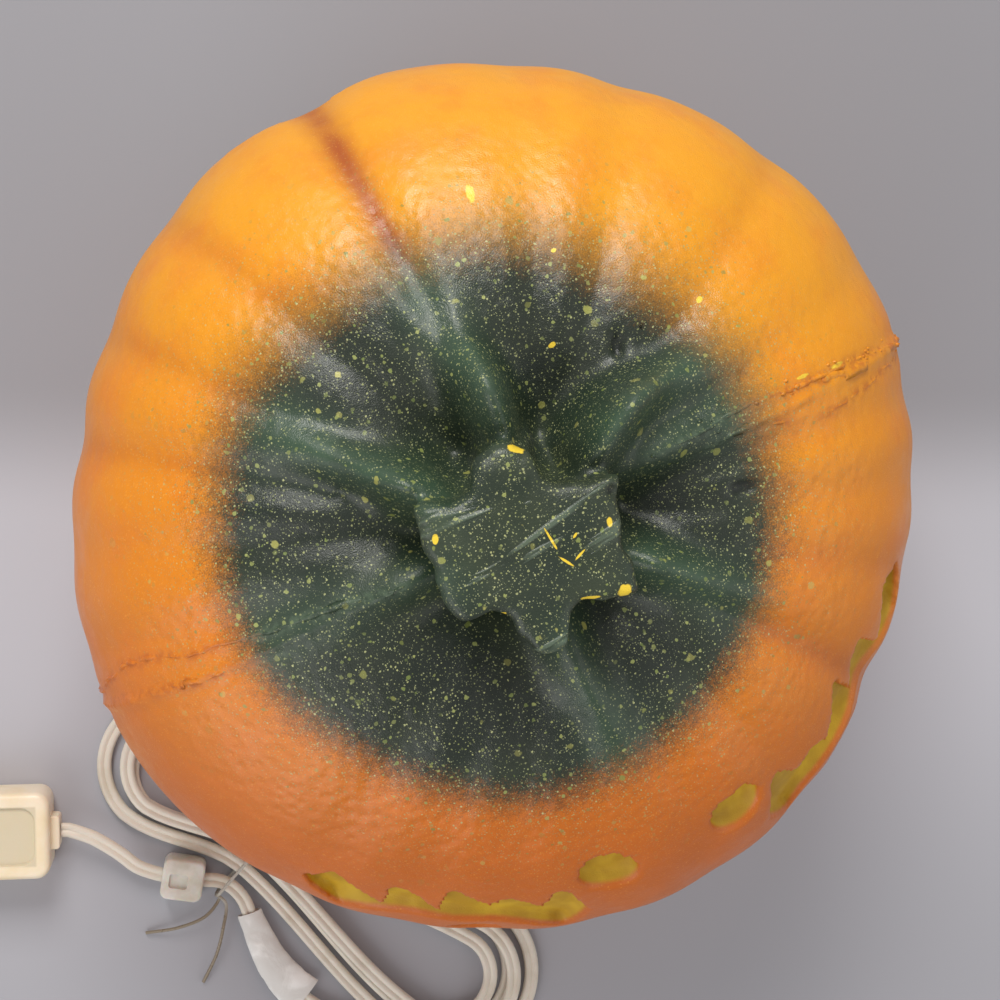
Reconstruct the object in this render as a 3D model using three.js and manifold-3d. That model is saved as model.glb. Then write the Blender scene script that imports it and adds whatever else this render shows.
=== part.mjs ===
// A light-up jack-o'-lantern: a hollow pumpkin of moulded foam, a lamp clipped into its back,
// and a flat two-wire lead, bundled, with a clip block and a fused plug.
// Millimetres, +Z up, standing on z = 0. The face looks along -Y and the lamp opening along +Y.
import * as THREE from "three";
import { mergeVertices } from "three/addons/utils/BufferGeometryUtils.js";
import Module from "manifold-3d";

const wasm = await Module();
wasm.setup();
const radians = THREE.MathUtils.degToRad;

// Clearances between pieces
const seatGap = 0.3; // between two pieces that touch
const slideGap = 0.4; // round a spigot or a cap that slides in

// Pumpkin body
const bodyWidth = 276; // across X
const bodyDepth = 276; // across Y
const crownRise = 92; // from the widest ring to the crown, before the dimple is pressed in
const baseDrop = 103; // from the widest ring to where the round form would close under the base
const baseCut = 8; // of which this much is cut off flat
const fullness = 2.3; // 2 is a round profile, more is squarer
const widestHeight = baseDrop - baseCut;
const crownHeight = widestHeight + crownRise;
const dimpleDepth = 24;
const dimpleRadius = 38;
const wall = 14;
const floorThickness = 13;
const ovality = 0.018; // the body is a little longer in one direction seen from above
const ovalAt = 47; // degrees
const squareness = 0.014; // and a little square
const squareAt = 6; // degrees to its first corner
const seamHeight = 0.9; // flash left along the parting line
const seamHalfAngle = 0.9; // degrees
const seamAt = [-5, 179]; // degrees

// Ribs: each groove's direction in degrees from +X, and its depth
const grooves = [
  [-147, 1.3], [-132, 1.2], [-119, 1.4], [-104, 1.5], [-88, 1.2], [-72, 1.8], [-53, 4.0],
  [-36, 1.8], [-24, 2.0], [-12, 2.8], [6, 1.6], [26, 2.2], [47, 2.6], [62, 1.6], [89, 3.8],
  [112, 2.2], [129, 2.8], [144, 3.8], [158, 1.8], [172, 2.0],
];
const grooveWidth = 5; // degrees

// Stem: each lobe's direction in degrees, its reach at the cut end, its ridge on the shoulder, and
// how much higher that ridge climbs where it meets the stem
const stemTop = crownHeight + 26;
const stemFoot = crownHeight - 37;
const stemCore = 15.5; // radius between the lobes at the cut end
const stemLeanX = -7;
const stemLeanY = -5;
const stemLobes = [
  { at: -45, reach: 13.5, width: 17, ridge: 7, climb: 5 },
  { at: -102, reach: 12.0, width: 15, ridge: 6, climb: 3 },
  { at: -172, reach: 11.0, width: 15, ridge: 4, climb: 4 },
  { at: 150, reach: 9.5, width: 14, ridge: 0, climb: 3 },
  { at: 126, reach: 15.5, width: 16, ridge: 10, climb: 15 },
  { at: 87, reach: 13.0, width: 17, ridge: 9, climb: 20 },
  { at: 17, reach: 12.0, width: 16, ridge: 10, climb: 18 },
  { at: -9, reach: 10.0, width: 13, ridge: 4, climb: 6 },
];
const ridgeStart = 26; // the ridges are highest this far from the middle
const ridgeEnd = 92; // and die out here
const climbFrom = 30;
const climbReach = 15;
const ridgeHalfWidth = 6.2;
const ridgeSpread = 0.05; // and this share of the radius

// Face: recesses drawn straight out along -Y, with heights from the widest ring
const recessDepth = 5;
const faceMiddle = -4.6; // the face lies a little to one side
const eyeInner = 29; // distance from the face's middle to the start of the jagged eye
const eyeInnerZ = 45;
const eyeToothWidth = 14;
const eyePeaks = [58.5, 54, 57, 54, 50.5];
const eyeDips = [51.5, 50.5, 45.5, 43];
const eyeEndX = 101;
const eyeEndZ = 37;
const eyeBottomZ = 9;
const eyeballX = 68; // the raised part inside the eye, with a round pupil cut into it
const eyeballZ = 29;
const eyeballHalfWidth = 28;
const eyeballHalfHeight = 12;
const pupilX = 64;
const pupilRadius = 7;
const browSpotX = 21; // the pair of upright ovals between the eyes
const browSpotZ = 60.5;
const browSpotHalfWidth = 8.6;
const browSpotHalfHeight = 5.6;
const noseZ = 15;
const noseHalfWidth = 13;
const noseHeight = 22;
const mouthHalfWidth = 78;
const mouthCornerZ = -11;
const mouthTopZ = -25;
const mouthBottomZ = -59;
const toothWidth = 13;
const toothHeight = 11;

// Lamp opening in the back, and the unit that clips into it
const lampHeight = widestHeight - 17;
const pocketDepth = 20; // from the widest part of the back in to the seat
const openingRadius = 32;
const plateRadius = 39.7;
const plateThickness = 3;
const padThickness = 12; // wall left behind the seat
const padRadius = 52;
const spigotWall = 3;
const spigotLength = 9;
const notchHalfWidth = 5.5;
const lampTravel = 75; // how far the unit is drawn out

// Hood on the plate, where the wires turn down
const hoodHalfWidth = 15;
const hoodTop = 16;
const hoodBottom = -24;
const hoodDepth = 10.5;
const hoodWall = 1.8;

// Lampholder and bulb, for a 12 mm screw cap
const capRadius = 5.95;
const capWall = 0.5;
const shellWall = 0.6;
const holderWall = 4.75;
const holderLength = 25;
const holderFloor = 6; // depth of the bore's floor behind the plate
const holderNeckRadius = 10;
const holderFlangeRadius = 15;
const holderFlange = 2.4;
const rivetRadius = 1.3;
const glassRadius = 11;
const glassWall = 0.8;
const bulbLength = 54;
const capLength = 15;
const threadPitch = 2.54;
const turnsOut = 4;

// Spring clips
const clipWidth = 8;
const clipThickness = 0.6;

// Lead
const leadWidth = 5.3;
const leadThickness = 2.7;
const reliefLength = 22;
const reliefTop = 3.9;
const reliefTip = 3.1;

// Hank: loops in two layers, drawn in at the tie
const hankX = -126.5;
const hankY = -81.6;
const hankHeading = -68.8; // degrees at the tie
const hankBend = 623; // radius that the whole hank follows round the pumpkin
const hankPitch = 7.2;
const hankLayer = 3.4;
const hankLift = 2.0; // room for the tie under the loops
const hankLiftReach = 40;
const hankWaist = 9.8;
const hankLoopRadius = 24.2;
const hankLeft = 42; // from the tie to the centre of the short end's turn
const hankRight = 88;
const hankStepLeft = 3;
const hankStepRight = 2;
const hankLoops = 3.5;
const hankClimbAt = 2;
const loopSteps = 24;

// Twist tie, label and clip block
const tieRadius = 0.6;
const tieRoom = 2.4; // beside the outer loop
const tailAtTie = 19.7; // the tail's distance from the middle of the hank where it is tied
const tagWall = 0.4;
const tagFrom = 0.25; // along the tail, as shares of its length
const tagTo = 0.5;
const tagFlare = 1.8; // its first end is this much wider than its last
const blockLength = 15;
const blockWidth = 15;
const blockHeight = 11;
const blockX = -157.8;
const blockY = -79.3;
const blockHeading = 143.5; // degrees

// Plug
const plugX = -187;
const plugY = -42;
const plugHeading = 152.8;
const plugLength = 36;
const plugWidth = 31;
const plugThickness = 19;
const plugCorner = 5;
const collarLength = 3;
const collarWidth = 12;
const collarHeight = 9;
const bladeSpacing = 12.7;
const bladeThickness = 1.5;
const bladeLength = 17;
const bladeInside = 8;
const narrowBlade = 6.3;
const wideBlade = 7.9;
const fuseRadius = 1.8;
const fuseLength = 10;
const fuseSpacing = 7;
const doorWidth = 10.4;
const doorHeight = 14;
const doorThickness = 1.7;

// Materials
const finish = (color, roughness, metalness = 0) =>
  new THREE.MeshStandardMaterial({ color, roughness, metalness });
const foam = finish(0xe98a2c, 0.5);
const plateWhite = finish(0xe8e4da, 0.45);
const springSteel = finish(0x9a9da0, 0.35, 1);
const holderBlack = finish(0x1d1c1b, 0.5);
const brass = finish(0xc9a24a, 0.35, 1);
const glass = finish(0xf4f1ea, 0.08);
const solder = finish(0xb4b6b8, 0.4, 1);
const ivory = finish(0xe6dcc8, 0.42);
const cream = finish(0xeadcb8, 0.4);
const clearBlock = finish(0xcfcabc, 0.3);
const paper = finish(0xf1eee8, 0.85);
const clearTie = finish(0xc8c6c0, 0.35);
const bladeSteel = finish(0xc8b068, 0.3, 1);

// Solids

// Merges a geometry's shared corners, drops empty triangles and turns the faces outwards.
function closed(geometry) {
  const bare = geometry.clone();
  bare.deleteAttribute("normal");
  bare.deleteAttribute("uv");
  const merged = mergeVertices(bare, 1e-3);
  const at = merged.attributes.position;
  const corners = [];
  let volume = 0;
  const a = new THREE.Vector3();
  const b = new THREE.Vector3();
  const c = new THREE.Vector3();
  for (let i = 0; i < merged.index.count; i += 3) {
    const face = [0, 1, 2].map((k) => merged.index.getX(i + k));
    if (new Set(face).size < 3) continue;
    a.fromBufferAttribute(at, face[0]);
    b.fromBufferAttribute(at, face[1]);
    c.fromBufferAttribute(at, face[2]);
    volume += a.dot(b.cross(c)) / 6;
    corners.push(face);
  }
  const turned = volume < 0 ? corners.map(([i, j, k]) => [i, k, j]) : corners;
  merged.setIndex(turned.flat());
  return merged;
}

function solid(geometry) {
  const shape = closed(geometry);
  return new wasm.Manifold(
    new wasm.Mesh({
      numProp: 3,
      vertProperties: new Float32Array(shape.attributes.position.array),
      triVerts: new Uint32Array(shape.index.array),
    }),
  );
}

function geometryOf(body) {
  const made = body.getMesh();
  const positions = new Float32Array(made.numVert * 3);
  for (let i = 0; i < made.numVert; i++) {
    positions.set(made.vertProperties.subarray(i * made.numProp, i * made.numProp + 3), i * 3);
  }
  const geometry = new THREE.BufferGeometry();
  geometry.setAttribute("position", new THREE.BufferAttribute(positions, 3));
  geometry.setIndex(new THREE.BufferAttribute(new Uint32Array(made.triVerts), 1));
  return geometry;
}

function piece(group, name, form, material) {
  const geometry = form.isBufferGeometry ? closed(form) : geometryOf(form);
  geometry.computeVertexNormals();
  const mesh = new THREE.Mesh(geometry, material);
  mesh.name = name;
  group.add(mesh);
  return mesh;
}

// A profile of [radius, height] pairs turned round the Y axis. A ring's profile closes on itself.
function turned(profile, segments, ring = false) {
  const points = profile.map(([r, y]) => new THREE.Vector2(r, y));
  if (ring) points.push(points[0].clone());
  return new THREE.LatheGeometry(points, segments);
}

// A block given by its lowest and highest corners.
function block(low, high) {
  const [x, y, z] = high.map((h, i) => h - low[i]);
  return new THREE.BoxGeometry(x, y, z).translate(low[0] + x / 2, low[1] + y / 2, low[2] + z / 2);
}

// An outline in X and Z, drawn along Y from one depth to another.
function drawn(shape, from, to, segments = 8) {
  const made = new THREE.ExtrudeGeometry(shape, {
    depth: to - from,
    bevelEnabled: false,
    curveSegments: segments,
  });
  return made.rotateX(Math.PI / 2).translate(0, to, 0);
}

// The outline of a strip of even thickness along a line of points.
function strip(points, thickness) {
  const side = (sign) =>
    points.map((p, i) => {
      const before = points[Math.max(i - 1, 0)];
      const after = points[Math.min(i + 1, points.length - 1)];
      const along = after.clone().sub(before).normalize();
      return new THREE.Vector2(-along.y, along.x).multiplyScalar((sign * thickness) / 2).add(p);
    });
  return new THREE.Shape([...side(1), ...side(-1).reverse()]);
}

function roundedRectangle(width, height, corner) {
  const x = width / 2 - corner;
  const y = height / 2 - corner;
  const shape = new THREE.Shape();
  shape.absarc(x, y, corner, 0, Math.PI / 2);
  shape.absarc(-x, y, corner, Math.PI / 2, Math.PI);
  shape.absarc(-x, -y, corner, Math.PI, Math.PI * 1.5);
  shape.absarc(x, -y, corner, Math.PI * 1.5, Math.PI * 2);
  return shape;
}

// A closed skin over rows of points. Each row is a ring, and a row of one point is a pole.
function skin(rows) {
  const positions = rows.flat().flatMap((p) => [p.x, p.y, p.z]);
  const start = [];
  rows.reduce((sum, row) => {
    start.push(sum);
    return sum + row.length;
  }, 0);
  const faces = [];
  for (let i = 0; i + 1 < rows.length; i++) {
    const low = rows[i].length;
    const high = rows[i + 1].length;
    for (let j = 0; j < Math.max(low, high); j++) {
      const next = j + 1;
      const a = start[i] + (j % low);
      const b = start[i] + (next % low);
      const c = start[i + 1] + (next % high);
      const d = start[i + 1] + (j % high);
      if (low > 1) faces.push(a, b, c);
      if (high > 1) faces.push(a, c, d);
    }
  }
  const geometry = new THREE.BufferGeometry();
  geometry.setAttribute("position", new THREE.Float32BufferAttribute(positions, 3));
  geometry.setIndex(faces);
  return geometry;
}

// Pumpkin body

// 1 where an angle meets a centre and fading to 0 past the width, all in degrees.
function fade(angle, centre, width) {
  const apart = ((((angle - centre) % 360) + 540) % 360) - 180;
  return Math.exp(-((apart / width) ** 2));
}

function reach(angle) {
  const longer = ovality * Math.cos(radians(2 * (angle - ovalAt)));
  return 1 + longer + squareness * Math.cos(radians(4 * (angle - squareAt)));
}

// The plan outline's own extent, so that the body has its stated width and depth round the origin.
function planSpan(direction) {
  const across = Array.from({ length: 360 }, (_, a) => reach(a) * direction(radians(a)));
  const low = Math.min(...across);
  const high = Math.max(...across);
  return { size: high - low, middle: (high + low) / 2 };
}
const spanX = planSpan(Math.cos);
const spanY = planSpan(Math.sin);

// How far the skin stands out or lies in at a place: the grooves, the ridges and the parting line.
function relief(latitude, angle, radius) {
  const shoulder = THREE.MathUtils.smoothstep(latitude, -50, 35);
  const nearStem = THREE.MathUtils.smoothstep(radius, 24, 70);
  const groove = grooves.reduce((sum, [at, depth]) => sum + depth * fade(angle, at, grooveWidth), 0);
  const spread = radians(1) * Math.max(radius, 20);
  const width = (ridgeHalfWidth + ridgeSpread * radius) / spread;
  const above = latitude > 0 ? 1 - THREE.MathUtils.smoothstep(radius, ridgeStart, ridgeEnd) : 0;
  const climb = latitude > 0 ? Math.exp(-((Math.max(radius - climbFrom, 0) / climbReach) ** 2)) : 0;
  const ridge = stemLobes.reduce((sum, lobe) => sum + lobe.ridge * fade(angle, lobe.at, width), 0);
  const climbing = stemLobes.reduce((sum, lobe) => sum + lobe.climb * fade(angle, lobe.at, width), 0);
  const seam = seamAt.reduce((sum, at) => sum + fade(angle, at, seamHalfAngle / 2), 0);
  const seamHere = latitude > -60 ? seam * seamHeight : 0;
  return ridge * above + climbing * climb + seamHere - groove * shoulder * nearStem * (0.55 + 0.45 * above);
}

// A point of the body's skin, or of a plain skin that lies inside it by an inset.
function bodyPoint(latitude, angle, inset) {
  const level = Math.cos(radians(latitude)) ** (2 / fullness);
  const tall = Math.abs(Math.sin(radians(latitude))) ** (2 / fullness);
  const halfX = bodyWidth / spanX.size;
  const halfY = bodyDepth / spanY.size;
  const out = inset > 0 ? 0 : relief(latitude, angle, level * bodyWidth * 0.5);
  const c = Math.cos(radians(angle));
  const s = Math.sin(radians(angle));
  const push = (out - inset) * level;
  const x = (reach(angle) * c - spanX.middle) * halfX * level + push * c;
  const y = (reach(angle) * s - spanY.middle) * halfY * level + push * s;
  const radius = Math.hypot(x, y);
  const dimple = dimpleDepth * Math.exp(-((radius / dimpleRadius) ** 2));
  const rise = latitude > 0 ? (crownRise - inset) * tall - dimple : -(baseDrop - inset) * tall;
  const lowest = inset > 0 ? Math.max(inset, floorThickness) : 0;
  return new THREE.Vector3(x, y, Math.max(widestHeight + rise + out * tall, lowest));
}

const spaced = (from, to, count) =>
  Array.from({ length: count }, (_, i) => THREE.MathUtils.lerp(from, to, i / count));
const evenAngles = (count) => spaced(0, 360, count);

// A skin over rings at the given latitudes, the first of which is the pole under the base.
function bodySkin(inset, latitudes, angles) {
  const rows = latitudes.map((latitude) => angles.map((angle) => bodyPoint(latitude, angle, inset)));
  rows[0] = [new THREE.Vector3(0, 0, rows[0][0].z)];
  rows.push([bodyPoint(90, 0, inset)].map((pole) => pole.set(0, 0, pole.z)));
  return skin(rows);
}

const outerLatitudes = [...spaced(-90, 0, 10), ...spaced(0, 60, 10), ...spaced(60, 90, 10)];
const seamAngles = seamAt.flatMap((at) => [at - seamHalfAngle, at, at + seamHalfAngle]);
const outerAngles = [...evenAngles(72), ...seamAngles.map((a) => (a + 360) % 360)].sort(
  (a, b) => a - b,
);

// Stem: lobed rings from inside the dimple up to the cut end, with a waist below the overhang.
function stemSkin() {
  const stages = [
    { at: 0, size: 1.75, lobes: 1.6 },
    { at: 0.2, size: 1.5, lobes: 1.4 },
    { at: 0.36, size: 1.2, lobes: 1.1 },
    { at: 0.54, size: 0.98, lobes: 0.8 },
    { at: 0.72, size: 0.9, lobes: 0.75 },
    { at: 0.86, size: 0.97, lobes: 0.95 },
    { at: 0.95, size: 1.02, lobes: 1.02 },
    { at: 1, size: 0.9, lobes: 0.9 },
  ];
  const angles = evenAngles(52);
  const rows = stages.map(({ at, size, lobes }) => {
    const lean = THREE.MathUtils.smoothstep(at, 0.25, 1);
    const z = THREE.MathUtils.lerp(stemFoot, stemTop, at);
    return angles.map((angle) => {
      const lobe = stemLobes.reduce((sum, l) => sum + l.reach * fade(angle, l.at, l.width), 0);
      const r = stemCore * size + Math.min(lobe, 17) * lobes;
      const c = Math.cos(radians(angle));
      const s = Math.sin(radians(angle));
      return new THREE.Vector3(stemLeanX * lean + r * c, stemLeanY * lean + r * s, z);
    });
  });
  const foot = new THREE.Vector3(0, 0, stemFoot);
  const top = new THREE.Vector3(stemLeanX, stemLeanY, stemTop + 1);
  return skin([[foot], ...rows, [top]]);
}

// Face outlines, in X and Z
function eyeShape(side) {
  const points = [[eyeInner + 2, eyeInnerZ]];
  eyePeaks.forEach((peak, i) => {
    const x = eyeInner + eyeToothWidth * (i + 0.5);
    points.push([x - 1.5, peak - 0.6]);
    points.push([x + 1, peak]);
    if (i < eyeDips.length) points.push([x + eyeToothWidth / 2, eyeDips[i]]);
  });
  points.push([eyeEndX, eyeEndZ + 6]);
  points.push([eyeEndX, eyeEndZ]);
  const shape = new THREE.Shape();
  points.forEach(([x, z], i) => (i ? shape.lineTo(side * x, z) : shape.moveTo(side * x, z)));
  const middle = (eyeInner + eyeEndX) / 2;
  const pull = 2 * eyeBottomZ - (eyeEndZ + eyeInnerZ) / 2;
  shape.quadraticCurveTo(side * middle, pull, side * (eyeInner + 2), eyeInnerZ);
  return shape;
}

function noseShape() {
  const shape = new THREE.Shape();
  shape.moveTo(0, noseZ + noseHeight / 2);
  shape.quadraticCurveTo(noseHalfWidth * 0.75, noseZ, noseHalfWidth, noseZ - noseHeight / 2);
  shape.quadraticCurveTo(0, noseZ - noseHeight / 2 + 4, -noseHalfWidth, noseZ - noseHeight / 2);
  shape.quadraticCurveTo(-noseHalfWidth * 0.75, noseZ, 0, noseZ + noseHeight / 2);
  return shape;
}

function mouthShape() {
  const shape = new THREE.Shape();
  shape.moveTo(-mouthHalfWidth, mouthCornerZ);
  shape.quadraticCurveTo(0, mouthBottomZ * 2 - mouthCornerZ, mouthHalfWidth, mouthCornerZ);
  shape.quadraticCurveTo(0, mouthTopZ * 2 - mouthCornerZ - 8, -mouthHalfWidth, mouthCornerZ);
  return shape;
}

const teeth = [
  { x: -33, from: "top" },
  { x: 0, from: "top" },
  { x: 33, from: "top" },
  { x: -17, from: "bottom" },
  { x: 17, from: "bottom" },
];

function toothBlock({ x, from }) {
  const share = (x / mouthHalfWidth) ** 2;
  const top = THREE.MathUtils.lerp(mouthTopZ - 4, mouthCornerZ, share);
  const bottom = THREE.MathUtils.lerp(mouthBottomZ, mouthCornerZ, share);
  const low = from === "top" ? top - toothHeight : bottom - toothHeight;
  const high = from === "top" ? top + toothHeight : bottom + toothHeight;
  return block([x - toothWidth / 2, -bodyDepth, low], [x + toothWidth / 2, 0, high]);
}

function faceRecesses() {
  const front = -bodyDepth / 2 - 5;
  const back = -20;
  const cut = (shape) => solid(drawn(shape, front, back));
  const oval = (x, z, width, height) =>
    new THREE.Shape().absellipse(x, z, width, height, 0, Math.PI * 2);
  const sides = [-1, 1];
  const eyes = sides.map((side) => {
    const ball = cut(oval(side * eyeballX, eyeballZ, eyeballHalfWidth, eyeballHalfHeight));
    const pupil = cut(oval(side * pupilX, eyeballZ, pupilRadius, pupilRadius));
    return cut(eyeShape(side)).subtract(ball).add(pupil);
  });
  const spots = sides.map((side) =>
    cut(oval(side * browSpotX, browSpotZ, browSpotHalfWidth, browSpotHalfHeight)),
  );
  const mouth = teeth.reduce((open, tooth) => open.subtract(solid(toothBlock(tooth))), cut(mouthShape()));
  const all = [...eyes, ...spots, cut(noseShape()), mouth]
    .reduce((sum, part) => sum.add(part))
    .translate([faceMiddle, 0, widestHeight]);
  return all.subtract(solid(bodySkin(recessDepth, spaced(-90, 90, 18), evenAngles(44))));
}

const seatY = bodyDepth / 2 - pocketDepth;
const roundAlongY = (radius, from, to, segments = 48) =>
  new THREE.CylinderGeometry(radius, radius, to - from, segments).translate(0, (from + to) / 2, lampHeight);

function pumpkinShell() {
  const outside = bodyDepth / 2 + 20;
  const pad = solid(roundAlongY(padRadius, seatY - padThickness, outside));
  const hollow = solid(bodySkin(wall, spaced(-90, 90, 14), evenAngles(32))).subtract(pad);
  const pocket = solid(roundAlongY(plateRadius + 2 * slideGap, seatY, outside));
  const bore = solid(roundAlongY(openingRadius, seatY - padThickness - 30, outside));
  const notchTop = lampHeight - plateRadius + 8;
  const notchY = seatY + 2;
  const notch = solid(
    block([-notchHalfWidth, notchY, notchTop - 26], [notchHalfWidth, outside, notchTop]),
  );
  return solid(bodySkin(0, outerLatitudes, outerAngles))
    .add(solid(stemSkin()))
    .subtract(hollow)
    .subtract(faceRecesses())
    .subtract(pocket)
    .subtract(bore)
    .subtract(notch);
}

// Lamp unit, about the opening's axis: y = 0 is the seat in the shell, +Y points out of the back
const plateIn = seatGap;
const plateOut = plateIn + plateThickness;
const spigotRadius = openingRadius - slideGap;
const hoodOut = plateOut + hoodDepth;
const chamberMiddle = (plateOut + hoodOut - hoodWall) / 2;
const holderBore = capRadius + 0.35 + shellWall + seatGap;
const holderRadius = holderBore + holderWall;

function hoodOutline(inset) {
  const half = hoodHalfWidth - inset;
  const shape = new THREE.Shape();
  shape.moveTo(-half, hoodBottom + inset);
  shape.lineTo(half, hoodBottom + inset);
  shape.lineTo(half, hoodTop - hoodHalfWidth);
  shape.absarc(0, hoodTop - hoodHalfWidth, half, 0, Math.PI);
  return shape;
}

function lampPlate() {
  const hole = holderNeckRadius + seatGap;
  const inner = spigotRadius - spigotWall;
  const disc = turned(
    [
      [hole, plateIn],
      [inner, plateIn],
      [inner, -spigotLength],
      [spigotRadius, -spigotLength],
      [spigotRadius, plateIn],
      [plateRadius, plateIn],
      [plateRadius, plateOut - 1],
      [plateRadius - 1, plateOut],
      [hole, plateOut],
    ],
    40,
    true,
  );
  const hood = solid(drawn(hoodOutline(0), plateOut - 0.5, hoodOut, 12));
  const chamber = solid(drawn(hoodOutline(hoodWall), plateOut - 1.5, hoodOut - hoodWall, 12));
  const ring = solid(turned([[hole, -1], [60, -1], [60, plateOut], [hole, plateOut]], 40, true));
  const reliefHole = new THREE.CylinderGeometry(2.6 + seatGap, 2.6 + seatGap, 8, 20)
    .rotateX(Math.PI / 2)
    .translate(0, chamberMiddle, hoodBottom);
  const clipSlots = [-1, 1].map((side) =>
    solid(
      block(
        [side > 0 ? inner - 1 : -spigotRadius - 1, -spigotLength - 1, -clipWidth / 2 - seatGap],
        [side > 0 ? spigotRadius + 1 : 1 - inner, plateIn, clipWidth / 2 + seatGap],
      ),
    ),
  );
  return solid(disc)
    .add(hood)
    .subtract(chamber.subtract(ring))
    .subtract(solid(reliefHole))
    .subtract(clipSlots[0])
    .subtract(clipSlots[1]);
}

function springClip(side) {
  const foot = spigotRadius - spigotWall - 7;
  const back = spigotRadius - spigotWall + 0.9;
  const proud = openingRadius - 0.75;
  const top = plateIn - seatGap - clipThickness / 2;
  const line = new THREE.SplineCurve([
    new THREE.Vector2(back, top - 1.2),
    new THREE.Vector2((back + proud) / 2 + 0.3, top - 2.6),
    new THREE.Vector2(proud, top - spigotLength * 0.5),
    new THREE.Vector2(back + 0.4, top - spigotLength + 0.6),
    new THREE.Vector2(back - 1, top - spigotLength - 0.6),
  ]).getPoints(12);
  const points = [new THREE.Vector2(foot, top), new THREE.Vector2(back - 0.8, top), ...line];
  const shape = strip(points.map((p) => new THREE.Vector2(side * p.x, p.y)), clipThickness);
  return new THREE.ExtrudeGeometry(shape, { depth: clipWidth, bevelEnabled: false }).translate(
    0,
    0,
    -clipWidth / 2,
  );
}

const terminalX = 5;

function lampholder() {
  const hole = rivetRadius + seatGap;
  const body = turned(
    [
      [hole, -holderFloor],
      [holderBore, -holderFloor],
      [holderBore, -holderLength + 0.8],
      [holderBore + 0.6, -holderLength],
      [holderRadius - 0.8, -holderLength],
      [holderRadius, -holderLength + 0.8],
      [holderRadius, -holderFlange],
      [holderFlangeRadius, -holderFlange],
      [holderFlangeRadius, 0],
      [holderNeckRadius, 0],
      [holderNeckRadius, plateOut + 1.5],
      [hole, plateOut + 1.5],
    ],
    30,
    true,
  );
  const slot = block([terminalX - 0.7, -holderFloor - 1, -2.3], [terminalX + 0.7, plateOut + 3, 2.3]);
  return solid(body).subtract(solid(slot));
}

function screwShell() {
  const outer = holderBore - seatGap;
  const inner = outer - shellWall;
  const floor = -holderFloor - seatGap;
  return turned(
    [
      [rivetRadius + 2.9, floor - shellWall],
      [inner, floor - shellWall],
      [inner, -holderLength + 1.4],
      [outer, -holderLength + 1],
      [outer, floor],
      [rivetRadius + 2.9, floor],
    ],
    24,
    true,
  );
}

const contactTip = -holderFloor - seatGap - 1.9;

function centreContact() {
  const floor = -holderFloor - seatGap;
  const rear = plateOut + 1.5 + seatGap;
  return turned(
    [
      [0, contactTip],
      [1.8, contactTip + 0.4],
      [3.4, floor - 0.7],
      [3.4, floor],
      [rivetRadius, floor],
      [rivetRadius, rear],
      [2.6, rear],
      [2.2, rear + 0.9],
      [0, rear + 1.1],
    ],
    20,
  );
}

function shellTerminal() {
  const rear = plateOut + 3;
  const strap = solid(block([terminalX - 0.4, -holderFloor, -2], [terminalX + 0.4, rear, 2]));
  return strap.add(solid(block([terminalX - 0.4, rear - 0.8, -2], [terminalX + 4, rear, 2])));
}

// Bulb: its cap's tip rests on the centre contact, and the glass points into the hollow
const bulbTip = contactTip - seatGap;
const capStart = bulbTip - 2.5;
const capEnd = capStart - capLength;

function bulbCap() {
  const inner = capRadius - capWall;
  const thread = [];
  for (let y = capStart - 2; y > capEnd + 3; y -= threadPitch / 2) {
    const crest = thread.length % 2 === 0;
    thread.push([crest ? capRadius : capRadius - 0.25, y]);
  }
  return turned(
    [
      [inner - 0.3, capStart],
      [capRadius - 0.4, capStart - 0.4],
      ...thread,
      [capRadius - 0.1, capEnd + 1],
      [capRadius + 0.2, capEnd],
      [inner + 0.2, capEnd],
      [inner, capEnd + 0.8],
      [inner, capStart - 1],
    ],
    22,
    true,
  );
}

function bulbInsulator() {
  const outer = capRadius - capWall - seatGap;
  return turned(
    [
      [2.3, bulbTip - 0.9],
      [outer - 1, capStart + 0.9],
      [outer - 0.5, capStart - 0.2],
      [outer, capStart - 1.2],
      [outer, capStart - 2.8],
      [2.3, capStart - 2.8],
    ],
    18,
    true,
  );
}

function bulbContact() {
  return turned(
    [[0, bulbTip], [1.2, bulbTip - 0.2], [2, bulbTip - 1.1], [2, capStart - 2], [0, capStart - 2]],
    16,
  );
}

const neckRadius = capRadius - capWall - seatGap;
const neckStart = capStart - 4;
const glassTip = bulbTip - bulbLength;

function bulbGlass() {
  const line = (wallIn) =>
    new THREE.SplineCurve(
      [
        [neckRadius, capEnd + 1],
        [neckRadius + 1.3, capEnd - 3],
        [glassRadius - 1.6, capEnd - 9],
        [glassRadius, capEnd - 16],
        [glassRadius - 0.8, capEnd - 23],
        [glassRadius - 3.8, capEnd - 30],
        [glassRadius - 7.6, glassTip + 1.5],
        [0, glassTip],
      ].map(([r, y]) => new THREE.Vector2(Math.max(r - wallIn, 0), Math.max(y, glassTip + wallIn))),
    ).getPoints(13);
  const pair = (p) => [Math.max(p.x, 0), p.y];
  const outer = [[neckRadius, neckStart], ...line(0).map(pair)];
  const inner = [...line(glassWall).map(pair).reverse(), [neckRadius - glassWall, neckStart]];
  return turned([...outer, ...inner], 24, true);
}

function bulbStem() {
  const flare = neckRadius - glassWall - seatGap;
  return turned(
    [
      [0, neckStart - 0.2],
      [flare, neckStart - 0.2],
      [flare - 0.5, neckStart - 1.6],
      [1.7, neckStart - 5],
      [1.4, neckStart - 16],
      [0, neckStart - 17],
    ],
    16,
  );
}

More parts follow.
